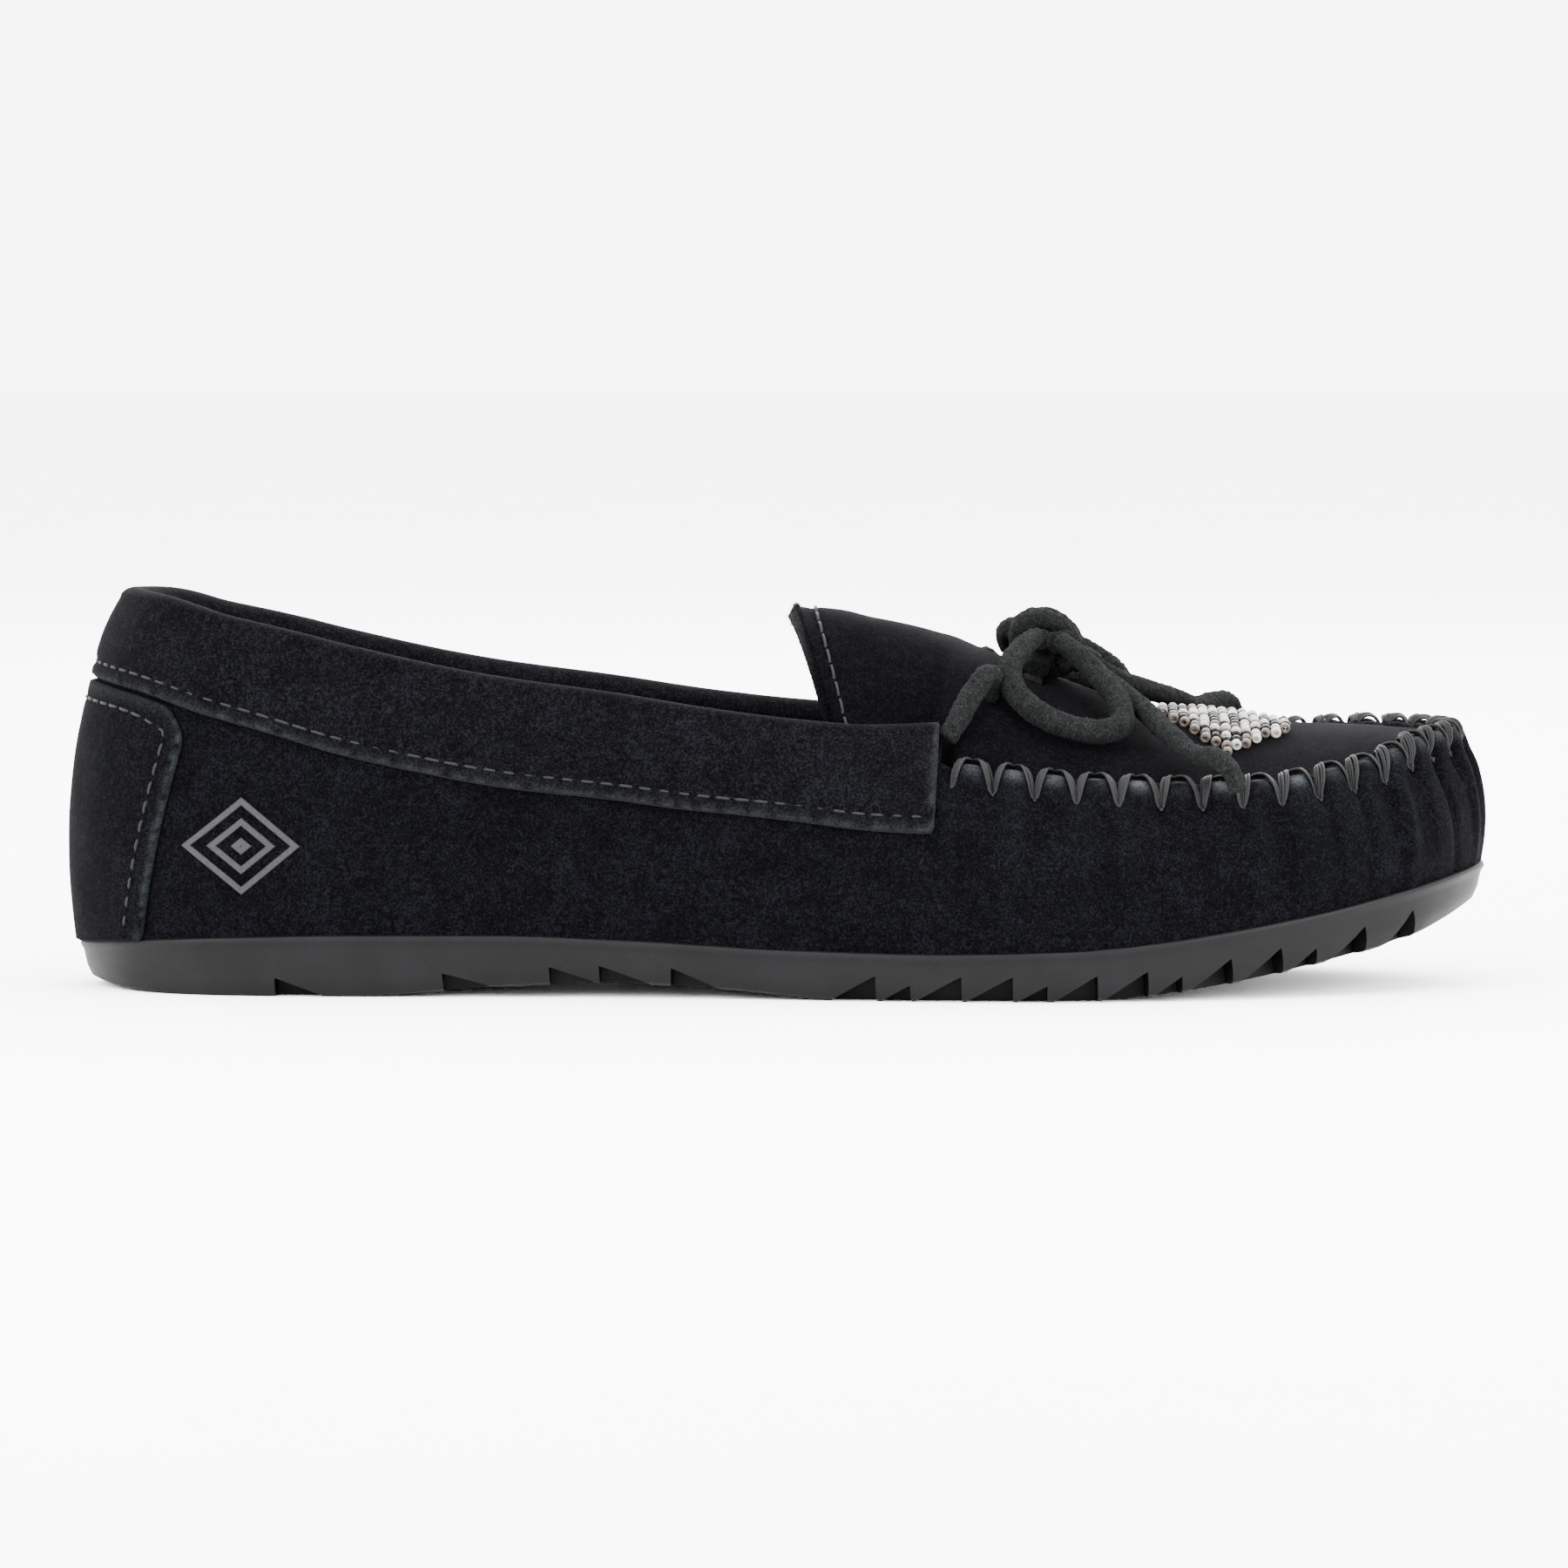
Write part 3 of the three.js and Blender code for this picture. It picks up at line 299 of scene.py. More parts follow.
def wall_top(u, outer):
    seam = SEAM_HEIGHT + np.where(outer, seam_rise_outer(u), seam_rise_inner(u))
    t = smoothstep(u, 0.45, SEAM_FROM)
    return np.where(u >= SEAM_FROM, seam, collar_top(u) * (1 - t) + seam * t)


def lean(u, outer, z):
    """How far the wall leans in at height z."""
    foot = sole_top(u)
    r = (z - foot) / (wall_top(u, outer) - foot)
    top = np.where(outer, top_lean_outer(u), top_lean_inner(u))
    below = top * np.clip(r, 0, 1) ** LEAN_POWER - swell(u) * 4 * r * (1 - r)
    beyond = top + (r - 1) * (LEAN_POWER * top + 4 * swell(u))
    return np.where(r > 1, beyond, below)


def wall(s, z, depth=0.0):
    """A point of the side, `depth` inside its outer face (negative is outside it)."""
    s, z, depth = np.broadcast_arrays(np.asarray(s, float), np.asarray(z, float),
                                      np.asarray(depth, float))
    p = plan_point(s)
    inward = plan_inward(s)
    u = share(p[..., 0])
    outer = is_outer(s)
    slope = (lean(u, outer, z + 0.2) - lean(u, outer, z - 0.2)) / 0.4
    k = np.hypot(1, slope)
    e = (lean(u, outer, z) + depth / k)[..., None]
    return np.concatenate([p + inward * e, (z - depth * slope / k)[..., None]], -1)


def turn_share(s):
    return share(plan_point(s)[..., 0])


COLLAR_INNER = SUEDE + GAP + LINING + 2 * GAP
LACE_ROOM = COLLAR_SUEDE + GAP + LACE_FLAT + GAP
INNER_LEG = LACE_ROOM + 4
ROOF_DROP = 1.5
PLUG_DEPTH = SUEDE + 0.8
crown = scaled(
    [
        (0.5, 1), (0.525, 0.99), (0.56, 0.915), (0.612, 0.77), (0.65, 0.6), (0.7, 0.4),
        (0.74, 0.25), (0.785, 0.12), (0.835, 0.05), (0.885, 0.015), (0.93, 0), (1, 0),
    ],
    SEAM_HEIGHT + 7, INSTEP_HEIGHT,
)


def roof_edge(u, side):
    s = round_at(u, side)
    front = wall(s, wall_top(u, side == "outer") - ROOF_DROP, PLUG_DEPTH)
    z = collar_top(u) - INNER_LEG + 2
    behind = wall(s, z, COLLAR_INNER + COLLAR_SUEDE + 3.6)
    behind[..., 0] = wall(s, z, PLUG_DEPTH)[..., 0]
    return mix(behind, front, smoothstep(u, COLLAR_TO, 0.62)[..., None])


def roof(u, v):
    """A point of the roof's outer face: v runs from -1 at the outer edge to 1 at the inner one."""
    u, v = np.broadcast_arrays(np.asarray(u, float), np.asarray(v, float))
    a, b = roof_edge(u, "outer"), roof_edge(u, "inner")
    p = mix(a, b, (v[..., None] + 1) / 2)
    span = np.minimum(1, np.linalg.norm(b - a, axis=-1) / 20)
    rise = (crown(u) - (a[..., 2] + b[..., 2]) / 2) * span
    p[..., 2] += rise * (1 - np.abs(v) ** 2.2)
    return p


def roof_height(x, y):
    x, y = np.asarray(x, float), np.asarray(y, float)
    u = share(x)
    v = np.zeros_like(u)
    for _ in range(12):
        a, b = roof_edge(u, "outer"), roof_edge(u, "inner")
        v = 2 * (y - a[..., 1]) / (b[..., 1] - a[..., 1]) - 1
        here = a[..., 0] + (b[..., 0] - a[..., 0]) * (v + 1) / 2
        u = u + (x - here) / SOLE_LENGTH
    return roof(u, np.clip(v, -1, 1))[..., 2]


def under_roof(u, v, depth):
    """A point below the roof's face, measured square to its arch."""
    a, b = roof(u, v - 0.02), roof(u, v + 0.02)
    run = np.maximum(np.hypot(b[..., 1] - a[..., 1], b[..., 0] - a[..., 0]), 1e-6)
    slope = (b[..., 2] - a[..., 2]) / run
    k = np.hypot(1, slope)
    p = roof(u, v)
    p[..., 1] += depth * slope / k
    p[..., 2] -= depth / k
    return p


# ---- Meshes ----------------------------------------------------------------------------------------
WELD = 0.004  # corners nearer than this become one
RIM_BULGE = 0.3  # of a sheet's rim, as a share of its thickness


def weld_corners(bm):
    bmesh.ops.remove_doubles(bm, verts=bm.verts, dist=WELD * MM)
    bmesh.ops.dissolve_degenerate(bm, edges=bm.edges, dist=WELD / 2 * MM)


def make(name, verts, faces, materials, face_materials=None, sharp=70, weld=False):
    """A mesh object from millimetre points; `sharp` is the angle above which an edge stays crisp."""
    mesh = bpy.data.meshes.new(name)
    mesh.from_pydata((np.asarray(verts, float) * MM).tolist(), [], faces)
    for material in materials:
        mesh.materials.append(material)
    if face_materials is not None:
        mesh.polygons.foreach_set("material_index", face_materials)
    bm = bmesh.new()
    bm.from_mesh(mesh)
    if weld:
        weld_corners(bm)
        bmesh.ops.holes_fill(bm, edges=bm.edges, sides=0)
    bmesh.ops.recalc_face_normals(bm, faces=bm.faces)
    bm.to_mesh(mesh)
    bm.free()
    mesh.polygons.foreach_set("use_smooth", [True] * len(mesh.polygons))
    mesh.set_sharp_from_angle(angle=math.radians(sharp))
    obj = bpy.data.objects.new(name, mesh)
    bpy.context.scene.collection.objects.link(obj)
    return obj


def finish_piece(obj, body, slot, *nodes):
    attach(obj, body)
    if nodes:
        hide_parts(*nodes)


def grid_faces(rows, columns, start=0, ring=False, closed=False):
    """Faces of a grid of corners. `ring` joins its last row to its first, `closed` its columns."""
    faces, seam = [], []
    for i in range(rows if ring else rows - 1):
        a, b = start + i * columns, start + ((i + 1) % rows) * columns
        faces += [(a + j, b + j, b + j + 1, a + j + 1) for j in range(columns - 1)]
        seam.append((a, b, b + columns - 1, a + columns - 1))
    return faces + seam if closed else faces


def sheet(face, back):
    """A sheet with thickness from two grids of points, with a rounded rim all round."""
    rows, columns = face.shape[:2]
    half = rows * columns
    flat, under = face.reshape(-1, 3), back.reshape(-1, 3)
    faces = grid_faces(rows, columns) + grid_faces(rows, columns, half)
    index = np.arange(half).reshape(rows, columns)
    ids = np.concatenate([index[:, 0], index[-1, 1:], index[-2::-1, -1], index[0, -2:0:-1]])
    inner = np.concatenate([index[:, 1], index[-2, 1:-1], index[-1:, -2], index[-2::-1, -2],
                            index[1, -2:0:-1]])
    outward = flat[ids] - flat[inner]
    size = np.maximum(np.linalg.norm(outward, axis=1, keepdims=True), 1e-9)
    thick = np.linalg.norm(flat[ids] - under[ids], axis=1, keepdims=True)
    rim = (flat[ids] + under[ids]) / 2 + outward / size * thick * RIM_BULGE
    made = 2 * half + np.arange(len(ids))
    for k in range(len(ids)):
        m = (k + 1) % len(ids)
        faces.append((ids[k], ids[m], made[m], made[k]))
        faces.append((made[k], made[m], half + ids[m], half + ids[k]))
    return np.vstack([flat, under, rim]), faces


def tube_mesh(path, radius, sides=8, flat=1.0, up=(0, 0, 1), taper=0.0, twist=0.0):
    """A tube along a line. `flat` squeezes it along the direction nearest `up`."""
    n = len(path)
    tangent = np.gradient(path, axis=0)
    tangent /= np.linalg.norm(tangent, axis=1, keepdims=True)
    normal = np.array(up, float) - tangent[0] * np.dot(up, tangent[0])
    normal /= np.linalg.norm(normal)
    angles = np.arange(sides) * 2 * math.pi / sides
    rings = []
    for i in range(n):
        normal = normal - tangent[i] * np.dot(normal, tangent[i])
        normal /= np.linalg.norm(normal)
        side = np.cross(tangent[i], normal)
        end = min(i, n - 1 - i) / max(1, n - 1)
        r = radius * (1 - taper * (1 - smoothstep(end, 0, 0.15)))
        a = angles + twist * i / n
        rings.append(path[i] + r * (np.cos(a)[:, None] * side + flat * np.sin(a)[:, None] * normal))
    verts = np.vstack(rings + [path[:1], path[-1:]])
    faces = []
    for i in range(n - 1):
        for k in range(sides):
            m = (k + 1) % sides
            faces.append((i * sides + k, i * sides + m, (i + 1) * sides + m, (i + 1) * sides + k))
    first, last = n * sides, n * sides + 1
    for k in range(sides):
        m = (k + 1) % sides
        faces.append((first, m, k))
        faces.append((last, (n - 1) * sides + k, (n - 1) * sides + m))
    return verts, faces


def joined(parts):
    """Several (verts, faces) as one."""
    verts, faces, count = [], [], 0
    for v, f in parts:
        verts.append(v)
        faces += [tuple(i + count for i in face) for face in f]
        count += len(v)
    return np.vstack(verts), faces


def fibres(verts, faces, near, seed, count, long=0.75, wide=0.08):
    """Adds fibres, each a thin closed spike, that stand out of the surface near chosen corners."""
    random = np.random.default_rng(seed)
    corners = np.array([f[:3] for f in faces])
    chosen = corners[np.isin(corners[:, 0], near)]
    face = chosen[random.integers(0, len(chosen), count)]
    a, b, c = (verts[face[:, k]] for k in range(3))
    share_a, share_b = random.random((2, count, 1)) * 0.5
    root = a + (b - a) * share_a + (c - a) * share_b
    normal = np.cross(b - a, c - a)
    normal /= np.maximum(np.linalg.norm(normal, axis=1, keepdims=True), 1e-9)
    direction = normal + random.normal(0, 0.75, (count, 3))
    direction /= np.linalg.norm(direction, axis=1, keepdims=True)
    side = np.cross(direction, random.normal(size=(count, 3)))
    side /= np.linalg.norm(side, axis=1, keepdims=True)
    reach = long * random.uniform(0.35, 1, (count, 1))
    other = np.cross(direction, side)
    foot = root - direction * 0.05
    made = np.stack([foot - side * wide / 2, foot + side * wide / 2, foot + other * wide * 0.7,
                     root + direction * reach], 1)
    spikes = []
    for i in range(len(verts), len(verts) + 4 * count, 4):
        spikes += [(i, i + 2, i + 1), (i, i + 1, i + 3), (i + 1, i + 2, i + 3), (i + 2, i, i + 3)]
    return np.vstack([verts, made.reshape(-1, 3)]), faces + spikes


def mark(obj, name, values):
    """Stores one number for each vertex, for the material to read."""
    attribute = obj.data.attributes.new(name, "FLOAT", "POINT")
    attribute.data.foreach_set("value", np.asarray(values, np.float32).ravel())


# ---- Materials -------------------------------------------------------------------------------------
class Nodes:
    """Short ways to add shader nodes to one material."""

    def __init__(self, name):
        self.material = bpy.data.materials.new(name)
        self.material.use_nodes = True
        self.tree = self.material.node_tree
        self.tree.nodes.clear()
        self.bsdf = self.tree.nodes.new("ShaderNodeBsdfPrincipled")
        output = self.tree.nodes.new("ShaderNodeOutputMaterial")
        self.link(self.bsdf.outputs[0], output.inputs[0])
        self.place = self.tree.nodes.new("ShaderNodeTexCoord").outputs["Object"]

    def link(self, a, b):
        self.tree.links.new(a, b)

    def noise(self, size, detail=2.0, stretch=(1, 1, 1)):
        """Noise whose features are about `size` millimetres."""
        mapping = self.tree.nodes.new("ShaderNodeMapping")
        mapping.inputs["Scale"].default_value = stretch
        self.link(self.place, mapping.inputs["Vector"])
        node = self.tree.nodes.new("ShaderNodeTexNoise")
        node.inputs["Scale"].default_value = 1 / (size * MM)
        node.inputs["Detail"].default_value = detail
        self.link(mapping.outputs[0], node.inputs["Vector"])
        return node.outputs["Fac"]

    def value(self, name):
        node = self.tree.nodes.new("ShaderNodeAttribute")
        node.attribute_name = name
        return node.outputs["Fac"]

    def math(self, operation, a, b):
        node = self.tree.nodes.new("ShaderNodeMath")
        node.operation = operation
        for socket, given in zip(node.inputs, (a, b)):
            if isinstance(given, (int, float)):
                socket.default_value = given
            else:
                self.link(given, socket)
        return node.outputs[0]

    def summed(self, *pairs):
        """The sum of (value, weight) pairs."""
        parts = [self.math("MULTIPLY", value, weight) for value, weight in pairs]
        total = parts[0]
        for part in parts[1:]:
            total = self.math("ADD", total, part)
        return total

    def ramp(self, fac, stops):
        node = self.tree.nodes.new("ShaderNodeValToRGB")
        while len(node.color_ramp.elements) < len(stops):
            node.color_ramp.elements.new(0.5)
        for element, (at, colour) in zip(node.color_ramp.elements, stops):
            element.position = at
            element.color = (*colour, 1)
        self.link(fac, node.inputs[0])
        return node.outputs[0]

    def paint(self, fac, colour, *stops):
        """Colours the surface with tones of one colour, from (position, factor) stops."""
        tones = [(at, tone(colour, factor)) for at, factor in stops]
        self.link(self.ramp(fac, tones), self.bsdf.inputs["Base Color"])

    def vary_roughness(self, fac, spread, least):
        rough = self.math("ADD", self.math("MULTIPLY", fac, spread), least)
        self.link(rough, self.bsdf.inputs["Roughness"])

    def mixed(self, fac, a, b):
        node = self.tree.nodes.new("ShaderNodeMix")
        node.data_type = "RGBA"
        self.link(fac, node.inputs["Factor"])
        for socket, given in ((node.inputs[6], a), (node.inputs[7], b)):
            if isinstance(given, tuple):
                socket.default_value = (*given, 1)
            else:
                self.link(given, socket)
        return node.outputs[2]

    def bump(self, height, distance, strength=1.0):
        node = self.tree.nodes.new("ShaderNodeBump")
        node.inputs["Distance"].default_value = distance * MM
        node.inputs["Strength"].default_value = strength
        self.link(height, node.inputs["Height"])
        self.link(node.outputs[0], self.bsdf.inputs["Normal"])

    def set(self, **sockets):
        for name, value in sockets.items():
            self.bsdf.inputs[name.replace("_", " ")].default_value = value


def tone(colour, factor):
    return tuple(c * factor for c in colour)


def suede(name, colour, worn_and_highlight, nap=1.0, sheen=0.004, size=0.4):
    """Napped leather: mottled in patches, a fine grain of fibres, paler where worn and where a
    highlight is painted.
    """
    n = Nodes(name)
    fine = n.noise(size, 3.0)
    tufts = n.noise(size * 3.2, 2.0)
    patches = n.noise(9, 3.0)
    streaks = n.noise(3.2, 2.0, (0.45, 1, 1.2))
    grain = n.summed((fine, 0.74), (tufts, 0.26))
    shade = n.summed((grain, 0.8), (patches, 0.12), (streaks, 0.08))
    stops = [(0.38, 0.25), (0.5, 1.25), (0.62, 4.4)]
    base = n.ramp(shade, [(at, tone(colour, factor)) for at, factor in stops])
    # Vertex values mix in the paler colour: real wear, and painted highlight on the side's pleat tops.
    wear_and_highlight = n.math("MULTIPLY", n.value("wear_and_highlight"), n.math("ADD", n.math("MULTIPLY", fine, 1.7), -0.1))
    clipped = n.math("MINIMUM", n.math("MAXIMUM", wear_and_highlight, 0.0), 1.0)
    n.link(n.mixed(clipped, base, worn_and_highlight), n.bsdf.inputs["Base Color"])
    n.bump(grain, 0.32 * nap, 0.75)
    n.set(Roughness=0.95, Specular_IOR_Level=0.015, Sheen_Weight=sheen, Sheen_Roughness=0.42,
          Sheen_Tint=(0.72, 0.78, 0.9, 1))
    return n.material


def cloth(name, colour):
    """Fine woven lining."""
    n = Nodes(name)
    warp = n.noise(0.5, 1.0, (1, 0.25, 0.25))
    weft = n.noise(0.5, 1.0, (0.25, 1, 1))
    weave = n.summed((warp, 0.5), (weft, 0.5))
    patches = n.noise(14, 2.0)
    shade = n.summed((weave, 0.75), (patches, 0.25))
    n.paint(shade, colour, (0.35, 0.5), (0.65, 1.6))
    n.bump(weave, 0.16, 0.6)
    n.set(Roughness=0.9, Specular_IOR_Level=0.05, Sheen_Weight=0.01, Sheen_Roughness=0.5)
    return n.material


def thread(name, colour):
    """Waxed twisted thread."""
    n = Nodes(name)
    twist = n.noise(0.22, 1.0, (1, 1, 2.5))
    n.paint(twist, colour, (0.36, 0.25), (0.62, 2.1))
    n.bump(twist, 0.1, 0.8)
    n.set(Roughness=0.6, Specular_IOR_Level=0.12)
    return n.material


def rubber(name, colour):
    """Moulded rubber, satin with a faint bloom."""
    n = Nodes(name)
    bloom = n.noise(11, 3.0)
    speck = n.noise(0.45, 2.0)
    shade = n.summed((bloom, 0.7), (speck, 0.3))
    n.paint(shade, colour, (0.34, 0.78), (0.66, 1.24))
    n.vary_roughness(bloom, 0.2, 0.42)
    n.bump(speck, 0.03, 0.5)
    n.set(Specular_IOR_Level=0.06)
    return n.material


def glass(name, colour):
    n = Nodes(name)
    n.paint(n.noise(1.6, 1.0), colour, (0.3, 0.82), (0.7, 1.08))
    n.vary_roughness(n.noise(0.6), 0.1, 0.1)
    n.set(Specular_IOR_Level=0.1)
    return n.material


def grainy(name, colour, size, depth, roughness=0.95):
    """Board, foam or cork: cells or fibres of one size."""
    n = Nodes(name)
    cells = n.noise(size, 4.0)
    n.paint(cells, colour, (0.32, 0.55), (0.68, 1.3))
    n.bump(cells, depth, 0.8)
    n.set(Roughness=roughness, Specular_IOR_Level=0.2)
    return n.material


def plain_floor():
    n = Nodes("pale_floor")
    n.link(n.ramp(n.noise(60, 1.0), [(0.3, (0.93, 0.93, 0.93)), (0.7, (0.94, 0.94, 0.94))]),
           n.bsdf.inputs["Base Color"])
    n.set(Roughness=0.9, Specular_IOR_Level=0.1)
    return n.material


# Pale bluish grey for the side's pleat tops: partly wear, partly a painted highlight.
WORN_AND_HIGHLIGHT = (0.023, 0.0255, 0.0275)
RAW = (0.011, 0.0115, 0.012)
M = {
    "side": suede("suede_side", (0.00056, 0.00056, 0.00078), WORN_AND_HIGHLIGHT),
    "collar": suede("suede_collar", (0.0007, 0.0007, 0.00092), RAW),
    "plug": suede("suede_plug", (0.0004, 0.00037, 0.00056), RAW, size=0.36),
    "patch": suede("suede_patch", (0.00062, 0.00062, 0.00084), (0.008, 0.0093, 0.0102)),
    "lace": suede("suede_lace", (0.0021, 0.00225, 0.0022), (0.0085, 0.009, 0.0088), 2.0, 0.01, 0.3),
    "cloth": cloth("lining_cloth", (0.0013, 0.0013, 0.0016)),
    "thread": thread("thread_black", (0.0027, 0.0027, 0.0029)),
    "seam_thread": thread("thread_seam", (0.0025, 0.0026, 0.0028)),
    "rubber": rubber("rubber_sole", (0.0029, 0.0028, 0.0031)),
    # Painted shade: a much darker copy of the sole's rubber, for the faces inside the notches and
    # tread grooves.
    "rubber_painted_shade": rubber("rubber_recess_painted_shade", (0.0005, 0.0005, 0.00055)),
    "mark": grainy("pressed_mark", (0.0062, 0.0062, 0.0064), 0.5, 0.05, 0.6),
    "white": glass("bead_white", (0.24, 0.225, 0.205)),
    "taupe": glass("bead_taupe", (0.05, 0.041, 0.035)),
    "black": glass("bead_black", (0.0008, 0.0008, 0.0009)),
    "board": grainy("fibre_board", (0.3, 0.24, 0.16), 0.8, 0.08),
    "cork": grainy("cork_filler", (0.22, 0.13, 0.06), 1.6, 0.2),
    "foam": grainy("foam", (0.09, 0.09, 0.09), 0.7, 0.15),
    "floor": plain_floor(),
}


# ---- Camera, lights and floor ----------------------------------------------------------------------
TARGET = Vector((0.0002, 0, 0.03625))  # the middle of the shoe, in metres
VIEW_HEIGHT = math.radians(4)
FRAME_WIDTH = 0.285
DISTANCE = 2.5
SENSOR = 36
WORLD_LIGHT = 7.0
FLOOR_HALF = 2600


def camera():
    data = bpy.data.cameras.new("camera")
    data.sensor_width = SENSOR
    data.lens = SENSOR * DISTANCE / FRAME_WIDTH
    obj = bpy.data.objects.new("camera", data)
    bpy.context.scene.collection.objects.link(obj)
    away = Vector((0, -math.cos(VIEW_HEIGHT), math.sin(VIEW_HEIGHT)))
    obj.location = TARGET + away * DISTANCE
    obj.rotation_euler = (-away).to_track_quat("-Z", "Y").to_euler()
    bpy.context.scene.camera = obj


def softbox(name, place, size, power):
    data = bpy.data.lights.new(name, "AREA")
    data.shape = "RECTANGLE"
    data.size, data.size_y = size
    data.energy = power
    obj = bpy.data.objects.new(name, data)
    bpy.context.scene.collection.objects.link(obj)
    obj.location = place
    obj.rotation_euler = (TARGET - Vector(place)).to_track_quat("-Z", "Y").to_euler()


def studio():
    camera()
    softbox("light_top", (0.05, -0.15, 1.1), (1.3, 0.9), 26)
    softbox("light_left", (-0.9, -0.8, 0.7), (0.7, 0.7), 40)
    softbox("light_right", (0.95, -0.65, 0.55), (0.6, 0.7), 30)
    softbox("light_back", (0.1, 0.9, 0.7), (0.9, 0.5), 22)
    world = bpy.data.worlds.new("studio")
    world.use_nodes = True
    background = world.node_tree.nodes["Background"]
    background.inputs["Color"].default_value = (1, 1, 1, 1)
    background.inputs["Strength"].default_value = WORLD_LIGHT
    bpy.context.scene.world = world
    corners = ((-1, -1), (1, -1), (1, 1), (-1, 1))
    verts = [(FLOOR_HALF * x, FLOOR_HALF * y, 0) for x, y in corners]
    floor = make("floor", verts, [(0, 1, 2, 3)], [M["floor"]])


# ---- Lace ------------------------------------------------------------------------------------------
LACE_WIDTH = 4.5  # of the thong as it shows, with its nap


def nap(points, seed, amount=0.1):
    """Small unevenness of a suede surface, along all three axes."""
    shift = [ripple(points, 1.1, seed + k) + 0.7 * ripple(points, 0.55, seed + 10 + k)
             for k in range(3)]
    return points + amount * np.stack(shift, -1)


def thong(name, route, body_node, seed, flat=0.9, cut_end=False):
    line = evenly(through(route, 40), 0.45)
    taper = 0.25 if cut_end else 0.12
    verts, faces = tube_mesh(line, LACE_WIDTH / 2, 24, flat, taper=taper, twist=0.5)
    verts, count = nap(verts, seed), int(length_of(line) * 90)
    verts, faces = fibres(verts, faces, np.arange(len(verts)), seed, count, 0.75, 0.1)
    obj = make(name, verts, faces, [M["lace"]])
    mark(obj, "wear_and_highlight", 0.28 + 0.12 * ripple(verts, 1.4, seed + 5))
    finish_piece(obj, "shoe", "lace_suede", body_node)


def knot_turns():
    """The wrap of the knot: two turns round the loops' feet, which run across the shoe."""
    angle = np.linspace(math.radians(-60), math.radians(-60 + 2 * 360 + 60), 150)
    centre = np.array([47.9, 0.6, 62.0])
    across = np.linspace(-2.9, 3.3, len(angle))
    lean_back = 0.24
    x = 4.7 * np.cos(angle)
    z = 4.0 * np.sin(angle)
    path = np.stack([centre[0] + x, centre[1] + across + 0.5 * np.sin(angle * 2),
                     centre[2] + z - lean_back * x], -1)
    return tube_mesh(path, 2.3, 20, 0.85, up=(1, 0, 0), taper=0.2)


def knot_core():
    """The lace's strands inside the wrap, with the loops' feet coming out each side."""
    strands = [
        [(46.2, -6.4, 63), (46.8, -3, 62.6), (47.6, 0.6, 62), (46.9, 4, 62.8), (45.9, 7, 63.2)],
        [(49.9, -6.6, 62.4), (49.2, -3, 62.2), (48.4, 0.6, 61), (49.4, 4, 62), (50.7, 7.2, 62.6)],
        [(46, -5, 57.6), (46.8, -2, 59.4), (49.6, 0.2, 60.2), (52.4, -1.6, 59.6), (54.2, -3, 58.4)],
        [(45.6, 6.2, 57.8), (46.8, 3.4, 59.6), (50, 1.6, 60.4), (53.4, 2.2, 60), (56.8, 3.2, 58)],
    ]
    return [tube_mesh(evenly(through(s, 20), 0.5), LACE_WIDTH / 2, 18, 0.85) for s in strands]


def lace():
    verts, faces = joined([knot_turns()] + knot_core())
    verts = nap(verts, 70, 0.12)
    verts, faces = fibres(verts, faces, np.arange(len(verts)), 72, 8000, 0.75, 0.1)
    knot = make("bow_knot", verts, faces, [M["lace"]])
    mark(knot, "wear_and_highlight", 0.3 + 0.12 * ripple(verts, 1.4, 71))
    finish_piece(knot, "shoe", "lace_suede", "lace_knot")
    thong("thong_outer_run", OUTER_RUN, "lace_outer_run", 11)
    thong("thong_inner_run", INNER_RUN, "lace_inner_run", 21)
    thong("thong_outer_loop", OUTER_LOOP, "lace_outer_loop", 31)
    thong("thong_inner_loop", INNER_LOOP, "lace_inner_loop", 41)
    thong("thong_outer_tail", OUTER_TAIL, "lace_outer_tail", 51, 0.8, True)
    thong("thong_inner_tail", INNER_TAIL, "lace_inner_tail", 61, 0.8, True)


# ---- Gathered seam ---------------------------------------------------------------------------------
RIDGE_ROUND, WALL_ROUND = 1.2, 0.8  # radius of the wrapper's rolled edge, and of its plain one
PLEAT_SIDE, PLEAT_TOE = 7.5, 6.5


def seam_line():
    """Turns along the gathered seam, with the number of pleats passed at each."""
    s = np.linspace(round_at(SEAM_FROM + 0.004, "outer"), round_at(SEAM_FROM + 0.004, "inner"), 6000)
    ridge = wall(s, wall_top(turn_share(s), is_outer(s)))
    step = np.linalg.norm(np.diff(ridge, axis=0), axis=1)
    pitch = mix(PLEAT_SIDE, PLEAT_TOE, smoothstep(turn_share(s[1:]), 0.86, 0.97))
    pleats = np.concatenate([[0], np.cumsum(step / pitch)])
    return s, pleats * round(pleats[-1]) / pleats[-1]


SEAM_TURNS, SEAM_PLEATS = seam_line()
PLEATS = int(round(SEAM_PLEATS[-1]))
_random = np.random.default_rng(5)
FOLD_DEPTH = _random.uniform(0.5, 1.9, PLEATS + 1)
FOLD_LENGTH = _random.uniform(5, 17, PLEATS + 1)
FOLD_DRIFT = _random.uniform(-0.05, 0.05, PLEATS + 1)


def pleat_at(s):
    return np.interp(s, SEAM_TURNS, SEAM_PLEATS)


def turn_at(pleat):
    return np.interp(pleat, SEAM_PLEATS, SEAM_TURNS)


def in_seam(s):
    """1 along the gathered seam, fading to 0 behind it."""
    return smoothstep(turn_share(s), SEAM_FROM - 0.01, SEAM_FROM + 0.012)


